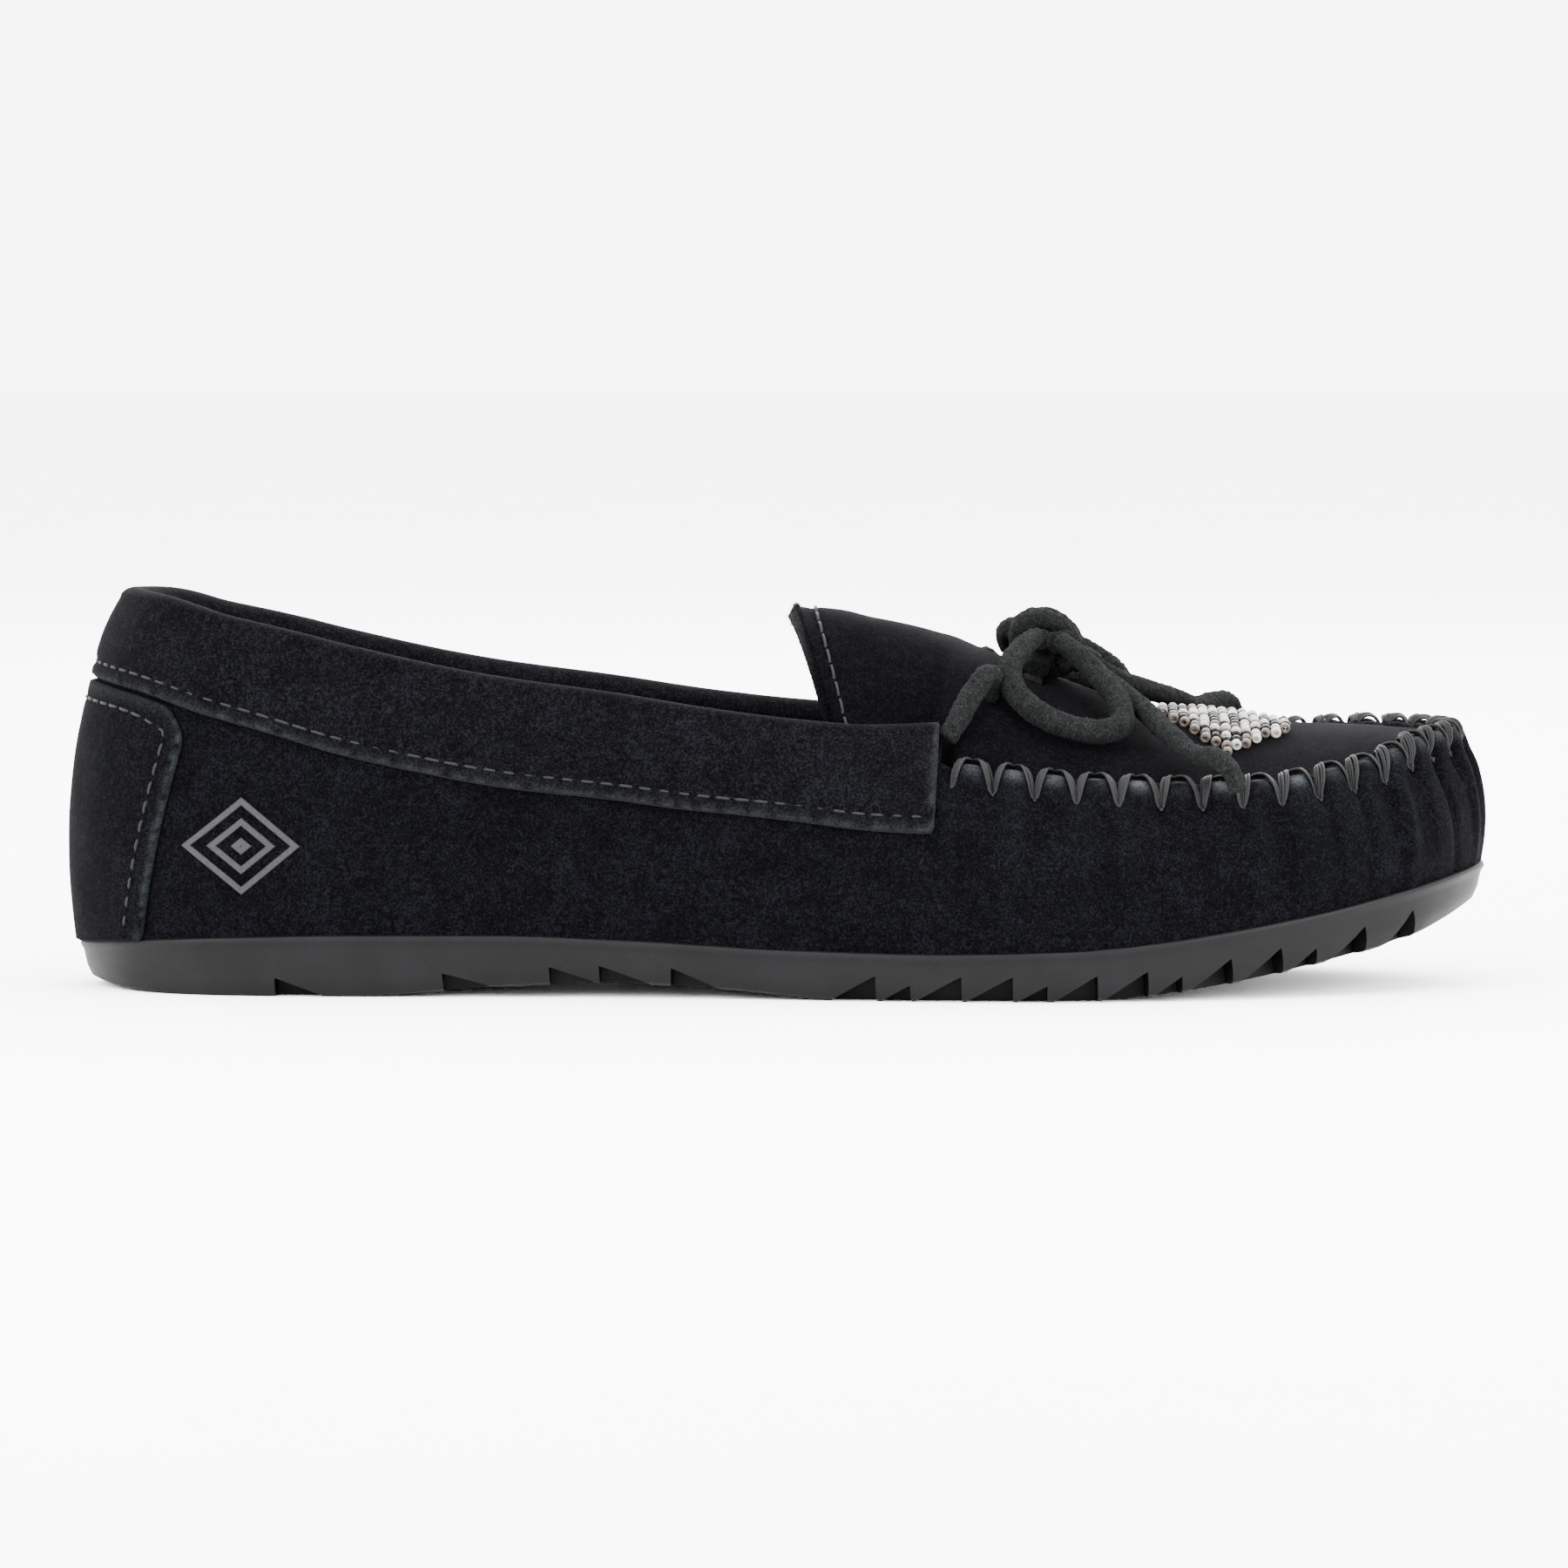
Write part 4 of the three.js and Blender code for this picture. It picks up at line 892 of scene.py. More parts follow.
def gather(s, down):
    """How far the wrapper stands out of its plain wall, `down` millimetres below the ridge."""
    p = pleat_at(s)
    full = np.abs(np.sin(math.pi * p))
    pillow = 1.15 * full**0.8 * np.exp(-(((down - 1.9) / 2.5) ** 2))
    hole = -0.95 * (1 - full) ** 2.5 * np.exp(-(((down - 3.4) / 1.9) ** 2))
    k = np.clip(np.round(p).astype(int), 0, PLEATS)
    away = p - k - FOLD_DRIFT[k] * down / 6
    fold = -FOLD_DEPTH[k] * np.exp(-((away / 0.17) ** 2)) * np.exp(-down / FOLD_LENGTH[k])
    crest = 1.5 * np.cos(2 * math.pi * (p / 2.3 + 0.4 * np.sin(p * 1.7))) * np.exp(-down / 13)
    return in_seam(s) * (pillow + hole + fold * (down > 0) + crest * smoothstep(down, 2, 8))


def ridge_drop(s):
    """How far the ridge is pulled down between pleats."""
    full = np.abs(np.sin(math.pi * pleat_at(s)))
    return in_seam(s) * 0.9 * (1 - full) ** 1.6


def wrapper_turns():
    a, b = round_at(0.6, "outer"), round_at(0.6, "inner")
    front = np.arange(a, b, 0.4 / PERIMETER)
    behind = np.arange(b, a + 1, 1.2 / PERIMETER)
    return np.concatenate([front, behind])


WALL_COLUMNS = 48
SEAM_FADE = (0.6, 0.625)  # where the plain wall turns into the rolled ridge
ROLL_ANGLES = np.radians([22, 45, 68, 90, 112, 135, 158, 180])[None, :]


def wrapper_loops(s, top, roll):
    """The wrapper's sections: up its face, over the rolled edge, and down inside."""
    u, outer = turn_share(s), is_outer(s)
    seam = smoothstep(u, *SEAM_FADE)
    foot = sole_top(u) - 0.3
    start = top - roll
    t = np.linspace(0, 1, WALL_COLUMNS)[None, :]
    z = foot + (start - foot) * (1 - (1 - t) ** 1.45)
    out = gather(s, top - z)
    face = wall(s, z, -out)
    waves = 0.22 * ripple(face, 26, 3) + 0.1 * ripple(face, 9, 4)
    face[..., 1] += np.where(outer, -1, 1) * waves * (1 - 0.6 * t)
    edge_out = gather(s, roll * (1 - np.sin(np.minimum(ROLL_ANGLES, math.pi / 2))))
    keep = (1 + np.cos(ROLL_ANGLES)) / 2
    over = wall(s, start + (roll - ridge_drop(s)) * np.sin(ROLL_ANGLES),
                roll * (1 - np.cos(ROLL_ANGLES)) - edge_out * keep)
    inside_z = start - np.array([1.5, 4, 9])[None, :]
    inside = wall(s, inside_z, np.array([0, 0, -0.4])[None, :] * seam + 2 * roll)
    low_z = foot + (inside_z[:, -1:] - foot) * np.array([0.6, 0.3, 0.0])[None, :]
    return np.concatenate([face, over, inside, wall(s, low_z, SUEDE)], axis=1), top - z, out


def wrapper():
    s = wrapper_turns()[:, None]
    u, outer = turn_share(s), is_outer(s)
    behind = np.minimum(wall_top(u, outer), collar_top(u) - LACE_ROOM)
    top = np.where(u < SEAM_FROM, behind, wall_top(u, outer))
    roll = mix(WALL_ROUND, RIDGE_ROUND, smoothstep(u, *SEAM_FADE))
    loop, down, out = wrapper_loops(s, top, roll)
    rows, columns = loop.shape[:2]
    faces = grid_faces(rows, columns, ring=True, closed=True)
    obj = make("wrapper_suede", loop.reshape(-1, 3), faces, [M["side"]])
    full = np.abs(np.sin(math.pi * pleat_at(s)))
    # Pale pleat tops, on the pillows and over the roll: partly wear, partly painted highlight.
    worn_and_highlight = in_seam(s) * full**4 * np.exp(-(((down - 1.3) / 1.15) ** 2))
    roll_wear_and_highlight = in_seam(s) * full**2 * np.exp(-(((ROLL_ANGLES - 0.4) / 0.9) ** 2)) * 0.8
    patchy = 0.65 + 0.5 * ripple(loop[:, :WALL_COLUMNS], 9, 8)
    wear_and_highlight = np.zeros((rows, columns))
    # The last term makes it paler wherever the wrapper stands out of its wall: painted highlight on
    # the bulges.
    wear_and_highlight[:, :WALL_COLUMNS] = worn_and_highlight * patchy + 0.035 * np.clip(out, 0, 1.5)
    wear_and_highlight[:, WALL_COLUMNS:WALL_COLUMNS + ROLL_ANGLES.size] = roll_wear_and_highlight
    mark(obj, "wear_and_highlight", np.clip(wear_and_highlight * 0.7, 0, 1))
    finish_piece(obj, "shoe", "suede", "wrapper")


def seam_strand(k, way, offset, radius):
    """One strand of a whip stitch from hole k, over the ridge to the plug's far side."""
    apart = np.array([0.35, 0.5, 0.7, 0.9, 1, 1, 0.9, 0.7]) * offset * 0.062
    pleat = k + way * (np.array([0.03, 0.05, 0.085, 0.135, 0.2, 0.29, 0.39, 0.48]) + apart)
    down = np.array([4.2, 3.5, 2.4, 1.2, 0.1, -0.7, -1.0, -0.8]) - 0.1 * offset
    depth = np.array([0.9, 0.1, -0.35, -0.4, -0.15, 0.5, 1.3, 2.6])
    pleat = np.clip(pleat, 0, PLEATS)
    s = turn_at(pleat)
    u, outer = turn_share(s), is_outer(s)
    skin = np.where(depth < 0.5, gather(s, np.maximum(down, 0)), 0)
    z = wall_top(u, outer) - down - 0.4 * ridge_drop(s)
    line = wall(s, z, depth - skin - radius * (depth < 1))
    return tube_mesh(evenly(through(line, 6), 0.55), radius, 6, taper=0.2)


def seam_stitches():
    parts = []
    random = np.random.default_rng(9)
    for k in range(PLEATS + 1):
        for way in (-1, 1):
            if (k == 0 and way < 0) or (k == PLEATS and way > 0):
                continue
            for offset in (-1.7, -0.85, 0, 0.85, 1.7):
                radius = 0.25 * random.uniform(0.85, 1.15)
                parts.append(seam_strand(k, way, offset + random.uniform(-0.35, 0.35), radius))
    verts, faces = joined(parts)
    obj = make("whip_stitches", verts, faces, [M["seam_thread"]])
    finish_piece(obj, "shoe", "thread", "seam_thread")


# ---- Plug and tongue -------------------------------------------------------------------------------
TONGUE_STITCH = 2.6  # from the tongue's tip to its row of stitches
FUZZY_TO, WORN_TO = 14, 12  # how far forward the tongue's edge is fuzzy, and worn


def from_tip(u, v):
    """Distance in front of the tongue's slanted tip."""
    return (u - TONGUE_TIP) * SOLE_LENGTH - TONGUE_SLANT * v * v


def roof_grid(rows, columns, tip, trim=0.0, far=1.0):
    q = np.linspace(0, 1, rows)
    u = tip + (far - tip) * np.sin(q * math.pi / 2)
    v = np.sin(np.linspace(-1, 1, columns) * math.pi / 2) * (1 - trim)
    u, v = np.meshgrid(u, v, indexing="ij")
    slant = TONGUE_SLANT * np.clip(1 - (u - TONGUE_TIP) / (SEAM_FROM - TONGUE_TIP), 0, 1)
    return u + slant * v * v / SOLE_LENGTH, v


def plug_relief(points, u, v):
    """Height added to the plain roof: puckers at the seam, lace holes, the tongue's flared edge."""
    half = np.abs(roof_edge(u, "inner") - roof_edge(u, "outer"))[..., 1] / 2
    s = np.where(v < 0, round_at(u, "outer"), round_at(u, "inner"))
    from_edge = (1 - np.abs(v)) * half
    pucker = np.cos(2 * math.pi * pleat_at(s)) * np.exp(-from_edge / 4.2)
    relief = in_seam(s) * (0.4 * pucker - 0.25 * np.exp(-from_edge / 3))
    relief += 0.16 * ripple(points, 22, 15) + 0.06 * ripple(points, 7, 16)
    for x, y in LACE_HOLES:
        r = np.hypot(points[..., 0] - x, points[..., 1] - y)
        relief -= 1.5 * np.exp(-((r / 2.3) ** 2))
    tip = from_tip(u, v)
    relief += 0.3 * np.exp(-np.clip(tip, 0, None) / 2.4) * (1 - np.abs(v)) ** 0.5
    stitch = np.exp(-(((tip - TONGUE_STITCH) / 0.7) ** 2))
    return relief - 0.28 * stitch


def roof_sheet(name, rows, columns, depth, thick, material, tip, trim=0.0, far=1.0, hairy=False):
    """A sheet under the roof; a hairy one has a thick, fuzzy lip at the tongue's tip."""
    u, v = roof_grid(rows, columns, tip, trim, far)
    grids = []
    for below in (depth, depth + thick):
        p = under_roof(u, v, below)
        p[..., 2] += plug_relief(p, u, v)
        behind = np.clip(from_tip(u, v), 0, None)
        p[..., 0] -= 1.3 * np.exp(-behind / 4) * np.exp(-((v / 0.6) ** 2))
        if hairy:
            p[..., 2] -= (below > depth) * 1.9 * np.exp(-behind / 2.2)
        grids.append(p)
    verts, faces = sheet(*grids)
    if hairy:
        half = grids[0].shape[0] * columns
        back_edge = np.arange(columns)
        rim = np.arange(2 * half, len(verts))
        rim = rim[verts[rim, 0] < FUZZY_TO]
        near = np.concatenate([back_edge, rim])
        verts, faces = fibres(verts, faces, near, 35, 7000, 1.25, 0.14)
    return make(name, verts, faces, [material], weld=True)


LIP_HEIGHT = 1.15  # of the plug's raw edge, where the seam doesn't squeeze it


def plug_lip():
    """The plug's raw edge, which stands up inside the gathered seam."""
    s = np.linspace(SEAM_TURNS[0], SEAM_TURNS[-1], 900)[:, None]
    top = wall_top(turn_share(s), is_outer(s))
    squeeze = 0.35 * (1 - np.cos(2 * math.pi * pleat_at(s))) / 2
    uneven = 0.12 * ripple(wall(s, top), 2.2, 33)
    height = LIP_HEIGHT - squeeze + uneven
    depth = np.array([5.2, 4.2, 3.75, 3.7, 3.6, 3.2, 2.7, 2.5, 2.5])[None, :]
    rise = np.array([-3.2, -2.4, -1.2, -0.2, 0.6, 0.95, 0.95, 0.6, -3.0])[None, :]
    points = wall(s, top + np.where(rise > 0, rise * height, rise), depth)
    rows, columns = points.shape[:2]
    faces = grid_faces(rows, columns, closed=True)
    faces += [tuple(range(columns)), tuple(range((rows - 1) * columns, rows * columns))]
    obj = make("plug_raw_edge", points.reshape(-1, 3), faces, [M["plug"]])
    mark(obj, "wear_and_highlight", np.clip((rise - 0.2) * 0.8, 0, 0.6) * (0.8 + 0.4 * ripple(points, 2, 34)))
    finish_piece(obj, "shoe", "suede")


def bend_with_tongue(obj, slot, *nodes):
    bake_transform(obj)
    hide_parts(*nodes)


def plug_and_tongue():
    upper = roof_sheet("plug_and_tongue", 300, 110, 0, PLUG_SUEDE, M["plug"], TONGUE_TIP, hairy=True)
    co = np.array([v.co for v in upper.data.vertices]) / MM
    tip = (TONGUE_TIP - 0.5) * SOLE_LENGTH + 0.006 * co[:, 1] ** 2
    raw = np.exp(-np.clip(co[:, 0] - tip - 0.2, 0, None) / 0.7)
    mark(upper, "wear_and_highlight", np.where(co[:, 0] < WORN_TO, raw * 0.9, 0))
    bend_with_tongue(upper, "suede", "plug", "tongue")
    lining = roof_sheet("roof_lining", 120, 50, PLUG_SUEDE + 0.05, 1.0, M["cloth"],
                        TONGUE_TIP + 0.001, 0.03, 0.97)
    bend_with_tongue(lining, "lining_cloth", "plug_lining", "tongue_lining")
    plug_lip()


# ---- Collar, heel patch and their stitches ---------------------------------------------------------
STITCH_LONG, STITCH_PITCH, STITCH_RADIUS = 2.7, 3.5, 0.3
COLLAR_STITCH, PATCH_STITCH = 2.3, 2.8  # from the leather's edge to the row


def stitch_row(name, place, length, node, body="shoe"):
    """Single stitches that dip into the leather at both ends; place(along, lift) gives a point."""
    count = int(length / STITCH_PITCH)
    shape = np.array([(-0.5, -0.42), (-0.44, -0.05), (-0.25, 0.17), (0, 0.22), (0.25, 0.17),
                      (0.44, -0.05), (0.5, -0.42)])
    parts = []
    for k in range(count):
        along = (k + 0.5) * length / count + shape[:, 0] * STITCH_LONG
        path = np.array([place(a, lift) for a, lift in zip(along, shape[:, 1])]).reshape(-1, 3)
        parts.append(tube_mesh(evenly(through(path, 3), 0.5), STITCH_RADIUS, 6))
    verts, faces = joined(parts)
    obj = make(name, verts, faces, [M["thread"]])
    finish_piece(obj, body, "thread", node)


def collar_turns(count):
    return np.linspace(round_at(COLLAR_TO, "inner") - 1, round_at(COLLAR_TO, "outer"), count)


def raw_edged(name, face, back, material, wear_and_highlight, under, fuzz):
    """A suede sheet with a brushed, fuzzy rim; `under` is its back's wear, `fuzz` its fibres."""
    verts, faces = sheet(face, back)
    half = wear_and_highlight.size
    verts, faces = fibres(verts, faces, np.arange(2 * half, len(verts)), *fuzz)
    obj = make(name, verts, faces, [M[material]])
    values = np.full(len(verts), 0.6)
    values[:half] = wear_and_highlight.ravel()
    values[half:2 * half] = under
    mark(obj, "wear_and_highlight", values)
    return obj


LEG_COLUMNS = 26  # of the collar's outer leg


def collar():
    s = collar_turns(420)[:, None]
    u = turn_share(s)
    top, foot = collar_top(u), collar_foot(u)
    middle, span = (COLLAR_INNER - GAP) / 2, (COLLAR_INNER + GAP) / 2
    centre = top - (span + COLLAR_SUEDE) * 0.8
    k = np.linspace(0, 1, LEG_COLUMNS)[None, :]
    leg_z = foot + (centre - foot) * k
    up = leg_z - foot
    puff = 0.5 * np.sin(math.pi * k) - 0.4 * np.exp(-(((up - COLLAR_STITCH) / 0.8) ** 2))
    puff += 0.15 * np.exp(-(((up - 0.8) / 0.7) ** 2))
    angle = np.radians(np.linspace(0, 180, 15)[1:])[None, :]
    inner_z = top - np.array([6, 7.5, INNER_LEG])[None, :]

    def profile(thick):
        leg = wall(s, leg_z, -0.1 - thick - puff * (thick > 0))
        fold = wall(s, centre + np.sin(angle) * (span + thick) * 0.8,
                    middle - np.cos(angle) * (span + thick))
        inner = wall(s, inner_z, COLLAR_INNER + thick)
        return np.concatenate([leg, fold, inner], axis=1)

    face, back = profile(COLLAR_SUEDE), profile(0)
    waves = 0.16 * ripple(face, 18, 41) + 0.06 * ripple(face, 6, 42)
    waves *= np.arange(face.shape[1]) < LEG_COLUMNS + 4
    face[..., 1] += np.where(is_outer(s), -1, 1) * waves
    edge = np.zeros(face.shape[:2])
    edge[:, :LEG_COLUMNS] = np.exp(-up / 0.6) * 0.7
    front = np.minimum(s - s[0], s[-1] - s) * PERIMETER
    edge = np.maximum(edge, np.exp(-front / 0.5) * 0.8)
    wear_and_highlight = np.clip(edge * (0.7 + 0.4 * ripple(face, 2.5, 44)), 0, 1)
    obj = raw_edged("collar_suede", face, back, "collar", wear_and_highlight, 0, (45, 6000, 0.6))
    finish_piece(obj, "shoe", "suede", "collar_band")


def collar_stitches():
    turns = collar_turns(1500)[4:-4]

    def height(s):
        return collar_foot(turn_share(s)) + COLLAR_STITCH

    far = along_points(wall(turns, height(turns), -COLLAR_SUEDE))

    def place(a, lift):
        s = np.interp(a, far, turns)
        return wall(s, height(s), 0.3 - COLLAR_SUEDE - lift)

    stitch_row("collar_stitches", place, far[-1], "collar_stitching")


def patch_front(up):
    line = mix(0.046, 0.073, np.minimum(up / 0.85, 1))
    return line - 0.012 * np.clip((up - 0.88) / 0.12, 0, None) ** 2


def patch_point(s, up, depth):
    u = turn_share(s)
    foot = sole_top(u) + GAP
    return wall(s, foot + (collar_foot(u) - 1.4 - foot) * up, depth)


def heel_patch():
    up = np.concatenate([np.linspace(0, 0.85, 34), np.linspace(0.86, 1, 16)])[None, :]
    a = np.sin(np.linspace(-1, 1, 120) * math.pi / 2)[:, None]
    low = round_at(patch_front(up), "inner") - 1
    high = round_at(patch_front(up), "outer")
    s = mix(low, high, (a + 1) / 2)
    from_front = np.minimum(s - low, high - s) * PERIMETER
    puff = 0.18 * smoothstep(from_front, 0.2, 2.2)
    puff -= 0.25 * np.exp(-(((from_front - PATCH_STITCH) / 0.6) ** 2))
    puff -= 0.25 * np.exp(-(((up - 0.94) / 0.015) ** 2))
    face = patch_point(s, up, -0.1 - PATCH_SUEDE - puff)
    face += (0.1 * ripple(face, 12, 51))[..., None] * np.array([-0.7, 0, 0])
    brushed = np.exp(-((from_front / 0.95) ** 2)) * (0.6 + 0.55 * ripple(face, 2.4, 52))
    top_edge = np.exp(-(((1 - up) / 0.035) ** 2)) * 0.35
    wear_and_highlight = np.clip(np.maximum(brushed, top_edge + 0 * s), 0, 0.9)
    back = patch_point(s, up, 0.0)
    obj = raw_edged("heel_patch_suede", face, back, "patch", wear_and_highlight, 0.6, (55, 2500, 0.65))
    finish_piece(obj, "shoe", "suede", "heel_patch")


def patch_stitches():
    rise = np.linspace(0.04, 0.9, 60)
    row = patch_front(rise) - PATCH_STITCH / SOLE_LENGTH
    inner, outer = round_at(row, "inner") - 1, round_at(row, "outer")
    across = np.linspace(inner[-1], outer[-1], 90)[1:-1]
    turns = np.concatenate([inner, across, outer[::-1]])
    ups = np.concatenate([rise, 0.94 - 0.04 * np.abs(np.linspace(-1, 1, 88)) ** 6, rise[::-1]])
    far = along_points(patch_point(turns, ups, -PATCH_SUEDE))

    def place(a, lift):
        s, up = np.interp(a, far, turns), np.interp(a, far, ups)
        return patch_point(s, up, 0.1 - PATCH_SUEDE - lift)

    stitch_row("patch_stitches", place, far[-1], "patch_stitching")


def tongue_stitches():
    v = np.linspace(-0.9, 0.9, 300)

    def row(v):
        return TONGUE_TIP + (TONGUE_SLANT * v * v + TONGUE_STITCH) / SOLE_LENGTH

    far = along_points(roof(row(v), v))

    def place(a, lift):
        across = np.interp(a, far, v)
        p = under_roof(row(across), across, 0.0)
        p[..., 2] += plug_relief(p, row(across), across) + 0.12 + lift
        return p

    stitch_row("tongue_stitches", place, far[-1], "tongue_stitching", body="tongue")


MARK_X, MARK_Z = -97.2, 27.2
MARK_LIFT, MARK_BEVEL = 0.16, 0.12


def side_mark():
    """A generic pressed mark on the outer side of the heel: three nested lozenges."""
    corners = np.array([(1, 0), (0, 1), (-1, 0), (0, -1), (1, 0)])
    t = np.linspace(0, 1, 14, endpoint=False)[:, None]
    ring = np.vstack([mix(a, b, t) for a, b in zip(corners, corners[1:])])
    parts = []
    for half_x, half_z, width in ((10.6, 8.8, 1.5), (6.2, 5.1, 1.5), (1.9, 1.6, 1.6)):
        hole = 1 - width / half_z
        rows = []
        for size, lift in ((1, -0.02), (mix(1, hole, MARK_BEVEL), MARK_LIFT),
                           (mix(hole, 1, MARK_BEVEL), MARK_LIFT), (hole, -0.02)):
            x = MARK_X + ring[:, 0] * half_x * size
            z = MARK_Z + ring[:, 1] * half_z * size
            s = round_at(share(x), "outer")
            for _ in range(4):  # the wall's lean moves a point along the shoe a little
                s = round_at(share(2 * x - wall(s, z)[:, 0]), "outer")
            rows.append(wall(s, z, -0.12 - lift))
        faces = grid_faces(len(ring), len(rows), ring=True, closed=True)
        parts.append((np.stack(rows, 1).reshape(-1, 3), faces))
    verts, faces = joined(parts)
    obj = make("side_mark", verts, faces, [M["mark"]], sharp=40, weld=True)
    finish_piece(obj, "shoe", "suede_raw")


# ---- Linings, footbed and what the shoe hides -------------------------------------------------------
def lining_depth(u):
    return SUEDE + GAP + (COUNTER + GAP) * (1 - smoothstep(u, 0.27, 0.33))


def board_top(u):
    return sole_top(u) + GAP + SUEDE + GAP + BOARD


def side_lining(name, turns, top, depth, node):
    s = turns[:, None]
    u = turn_share(s)
    low = board_top(u) + 2 * GAP
    z = low + (top(u, is_outer(s)) - low) * np.linspace(0, 1, 26)[None, :]
    d = depth(u, z)
    face, back = wall(s, z, d), wall(s, z, d + LINING)
    back[..., 1] += np.where(is_outer(s), 1, -1) * 0.12 * ripple(back, 14, 61)
    verts, faces = sheet(face, back)
    obj = make(name, verts, faces, [M["cloth"]])
    finish_piece(obj, "shoe", "lining_cloth", node)


def linings():
    def quarter_depth(u, z):
        t = smoothstep(z, collar_foot(u) - 1, collar_top(u) - INNER_LEG - 6)
        return mix(lining_depth(u), SUEDE + GAP, t)

    side_lining("quarter_cloth", collar_turns(260), lambda u, outer: collar_top(u) - LACE_ROOM,
                quarter_depth, "quarter_lining")
    ends = round_at(COLLAR_TO, "outer") + 0.003, round_at(COLLAR_TO, "inner") - 0.003
    side_lining("vamp_cloth", np.linspace(*ends, 260), lambda u, outer: wall_top(u, outer) - 4.9,
                lambda u, z: SUEDE + GAP, "vamp_lining")


def foot_inset(u):
    return lining_depth(u) + LINING + 1


def foam_top(u):
    return board_top(u) + GAP + 5 - 1.6 * smoothstep(u, 0.4, 0.75)


def slab(name, inset, bottom, top, material, rounding, relief=0.0, seed=0):
    """A slab that fills the outline, with a rounded upper edge."""
    q = (1 - np.cos(np.linspace(0, math.pi, 220))) / 2
    profile = [(0.0, 0.0), (0.0, 0.6), (0.25, 0.85), (0.8, 1.0)]
    points = []
    for side, order in (("outer", profile), ("inner", profile[::-1])):
        s = round_at(q, side)
        for k, rise in order:
            p = plan_point(s) + plan_inward(s) * (inset(q) + k * rounding)[:, None]
            low, high = bottom(share(p[:, 0])), top(share(p[:, 0]))
            points.append(np.column_stack([p, low + (high - low) * rise]))
        if side == "outer":
            edge = np.column_stack([p, high])
            at = len(points)
    far = points[at]
    across = []
    for t in np.linspace(0, 1, 26)[1:-1]:
        p = mix(edge, far, t)
        p[:, 2] = top(share(p[:, 0]))
        across.append(p)
    loop = np.stack(points[:at] + across + points[at:], 1)
    if relief:
        width = np.minimum(1, np.linalg.norm(loop - loop[:, ::-1], axis=-1) / 20)
        loop[:, at:-at, 2] += (relief * ripple(loop, 24, seed) * width)[:, at:-at]
    rows, columns = loop.shape[:2]
    faces = grid_faces(rows, columns, closed=True)
    return make(name, loop.reshape(-1, 3), faces, [material], weld=True)


def footbed():
    foam = slab("footbed_pad", foot_inset, lambda u: board_top(u) + GAP, foam_top, M["foam"], 1.2)
    finish_piece(foam, "footbed", "foam", "footbed_foam")
    cover = slab("footbed_cloth", lambda u: foot_inset(u) - 0.2, lambda u: foam_top(u) + 0.1,
                 lambda u: foam_top(u) + 1.2, M["cloth"], 1.0, 0.2, 66)
    finish_piece(cover, "footbed", "lining_cloth", "footbed_cover")


def keep_cad(node, material):
    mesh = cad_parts[node].data
    mesh.materials.clear()
    mesh.materials.append(material)


# ---- Outsole ---------------------------------------------------------------------------------------
NOTCHES_FROM, NOTCHES_TO = 0.565, 0.955  # the forefoot's, as shares of the length
NOTCH_LONG, NOTCH_SHORT, NOTCH_RISE = 8.5, 5.5, 0.55
HEEL_NOTCHES = (0.14, 0.26, 0.335, 0.37, 0.42)
HEEL_NOTCH_LONG, HEEL_NOTCH_HIGH = 9, 3.4
TREAD_MARGIN = 8  # from the outline to a groove's end


def outsole_blank():
    q = (1 - np.cos(np.linspace(0, math.pi, 300))) / 2
    levels = [
        (2.6, sole_bottom, 0.0), (1.3, sole_bottom, 0.45), (0.5, sole_bottom, 2.0),
        (0.15, sole_bottom, 3.4), (0.0, sole_top, -2.4), (-0.25, sole_top, -1.6),
        (-0.6, sole_top, -1.15), (-0.72, sole_top, -0.7), (-0.55, sole_top, -0.2),
        (-0.1, sole_top, 0.0),
    ]

    turns = np.concatenate([round_at(q, "outer"), round_at(q[-2:0:-1], "inner")])
    rings = []
    for inset, height, rise in levels:
        p = plan_point(turns) + plan_inward(turns) * inset
        rings.append(np.column_stack([p, height(share(p[:, 0])) + rise]))
    around, half = len(turns), len(q)
    faces = []
    for level in range(len(levels) - 1):
        a = level * around
        for k in range(around):
            m = (k + 1) % around
            faces.append((a + k, a + m, a + around + m, a + around + k))
    for a in (0, (len(levels) - 1) * around):
        faces += [(a, a + 1, a + around - 1), (a + half - 2, a + half - 1, a + half)]
        faces += [(a + k, a + k + 1, a + around - k - 1, a + around - k) for k in range(1, half - 2)]
    return make("outsole_rubber", np.vstack(rings), faces, [M["rubber"]])


def sole_slope(u):
    return (sole_bottom(u + 0.01) - sole_bottom(u - 0.01)) / (0.02 * SOLE_LENGTH)


def wedge(u, side, long, high, faces_toe):
    """A saw-tooth notch's wedge, upright on the side it faces."""
    s = float(round_at(u, side))
    p, n = plan_point(s), plan_inward(s)
    along = np.array([n[1], -n[0], 0])
    if (along[0] < 0) == faces_toe:
        along = -along
    along[2] = sole_slope(u) if faces_toe else -sole_slope(u)
    along /= np.linalg.norm(along)
    into = np.array([n[0], n[1], 0])
    up = np.cross(into, along)
    up *= np.sign(up[2])
    corner = np.array([p[0], p[1], sole_bottom(u)])
    bow = [(0, -2), (0, high), (-0.12 * long, high * 0.9), (-0.5 * long, high * 0.52), (-long, 0),
           (-long, -2)]
    verts = [corner + along * a + up * b + into * c for c in (-2.5, 5.4) for a, b in bow]
    n = len(bow)
    faces = [tuple(range(n)), tuple(range(2 * n - 1, n - 1, -1))]
    faces += [(k, k + n, (k + 1) % n + n, (k + 1) % n) for k in range(n)]
    return np.array(verts), faces


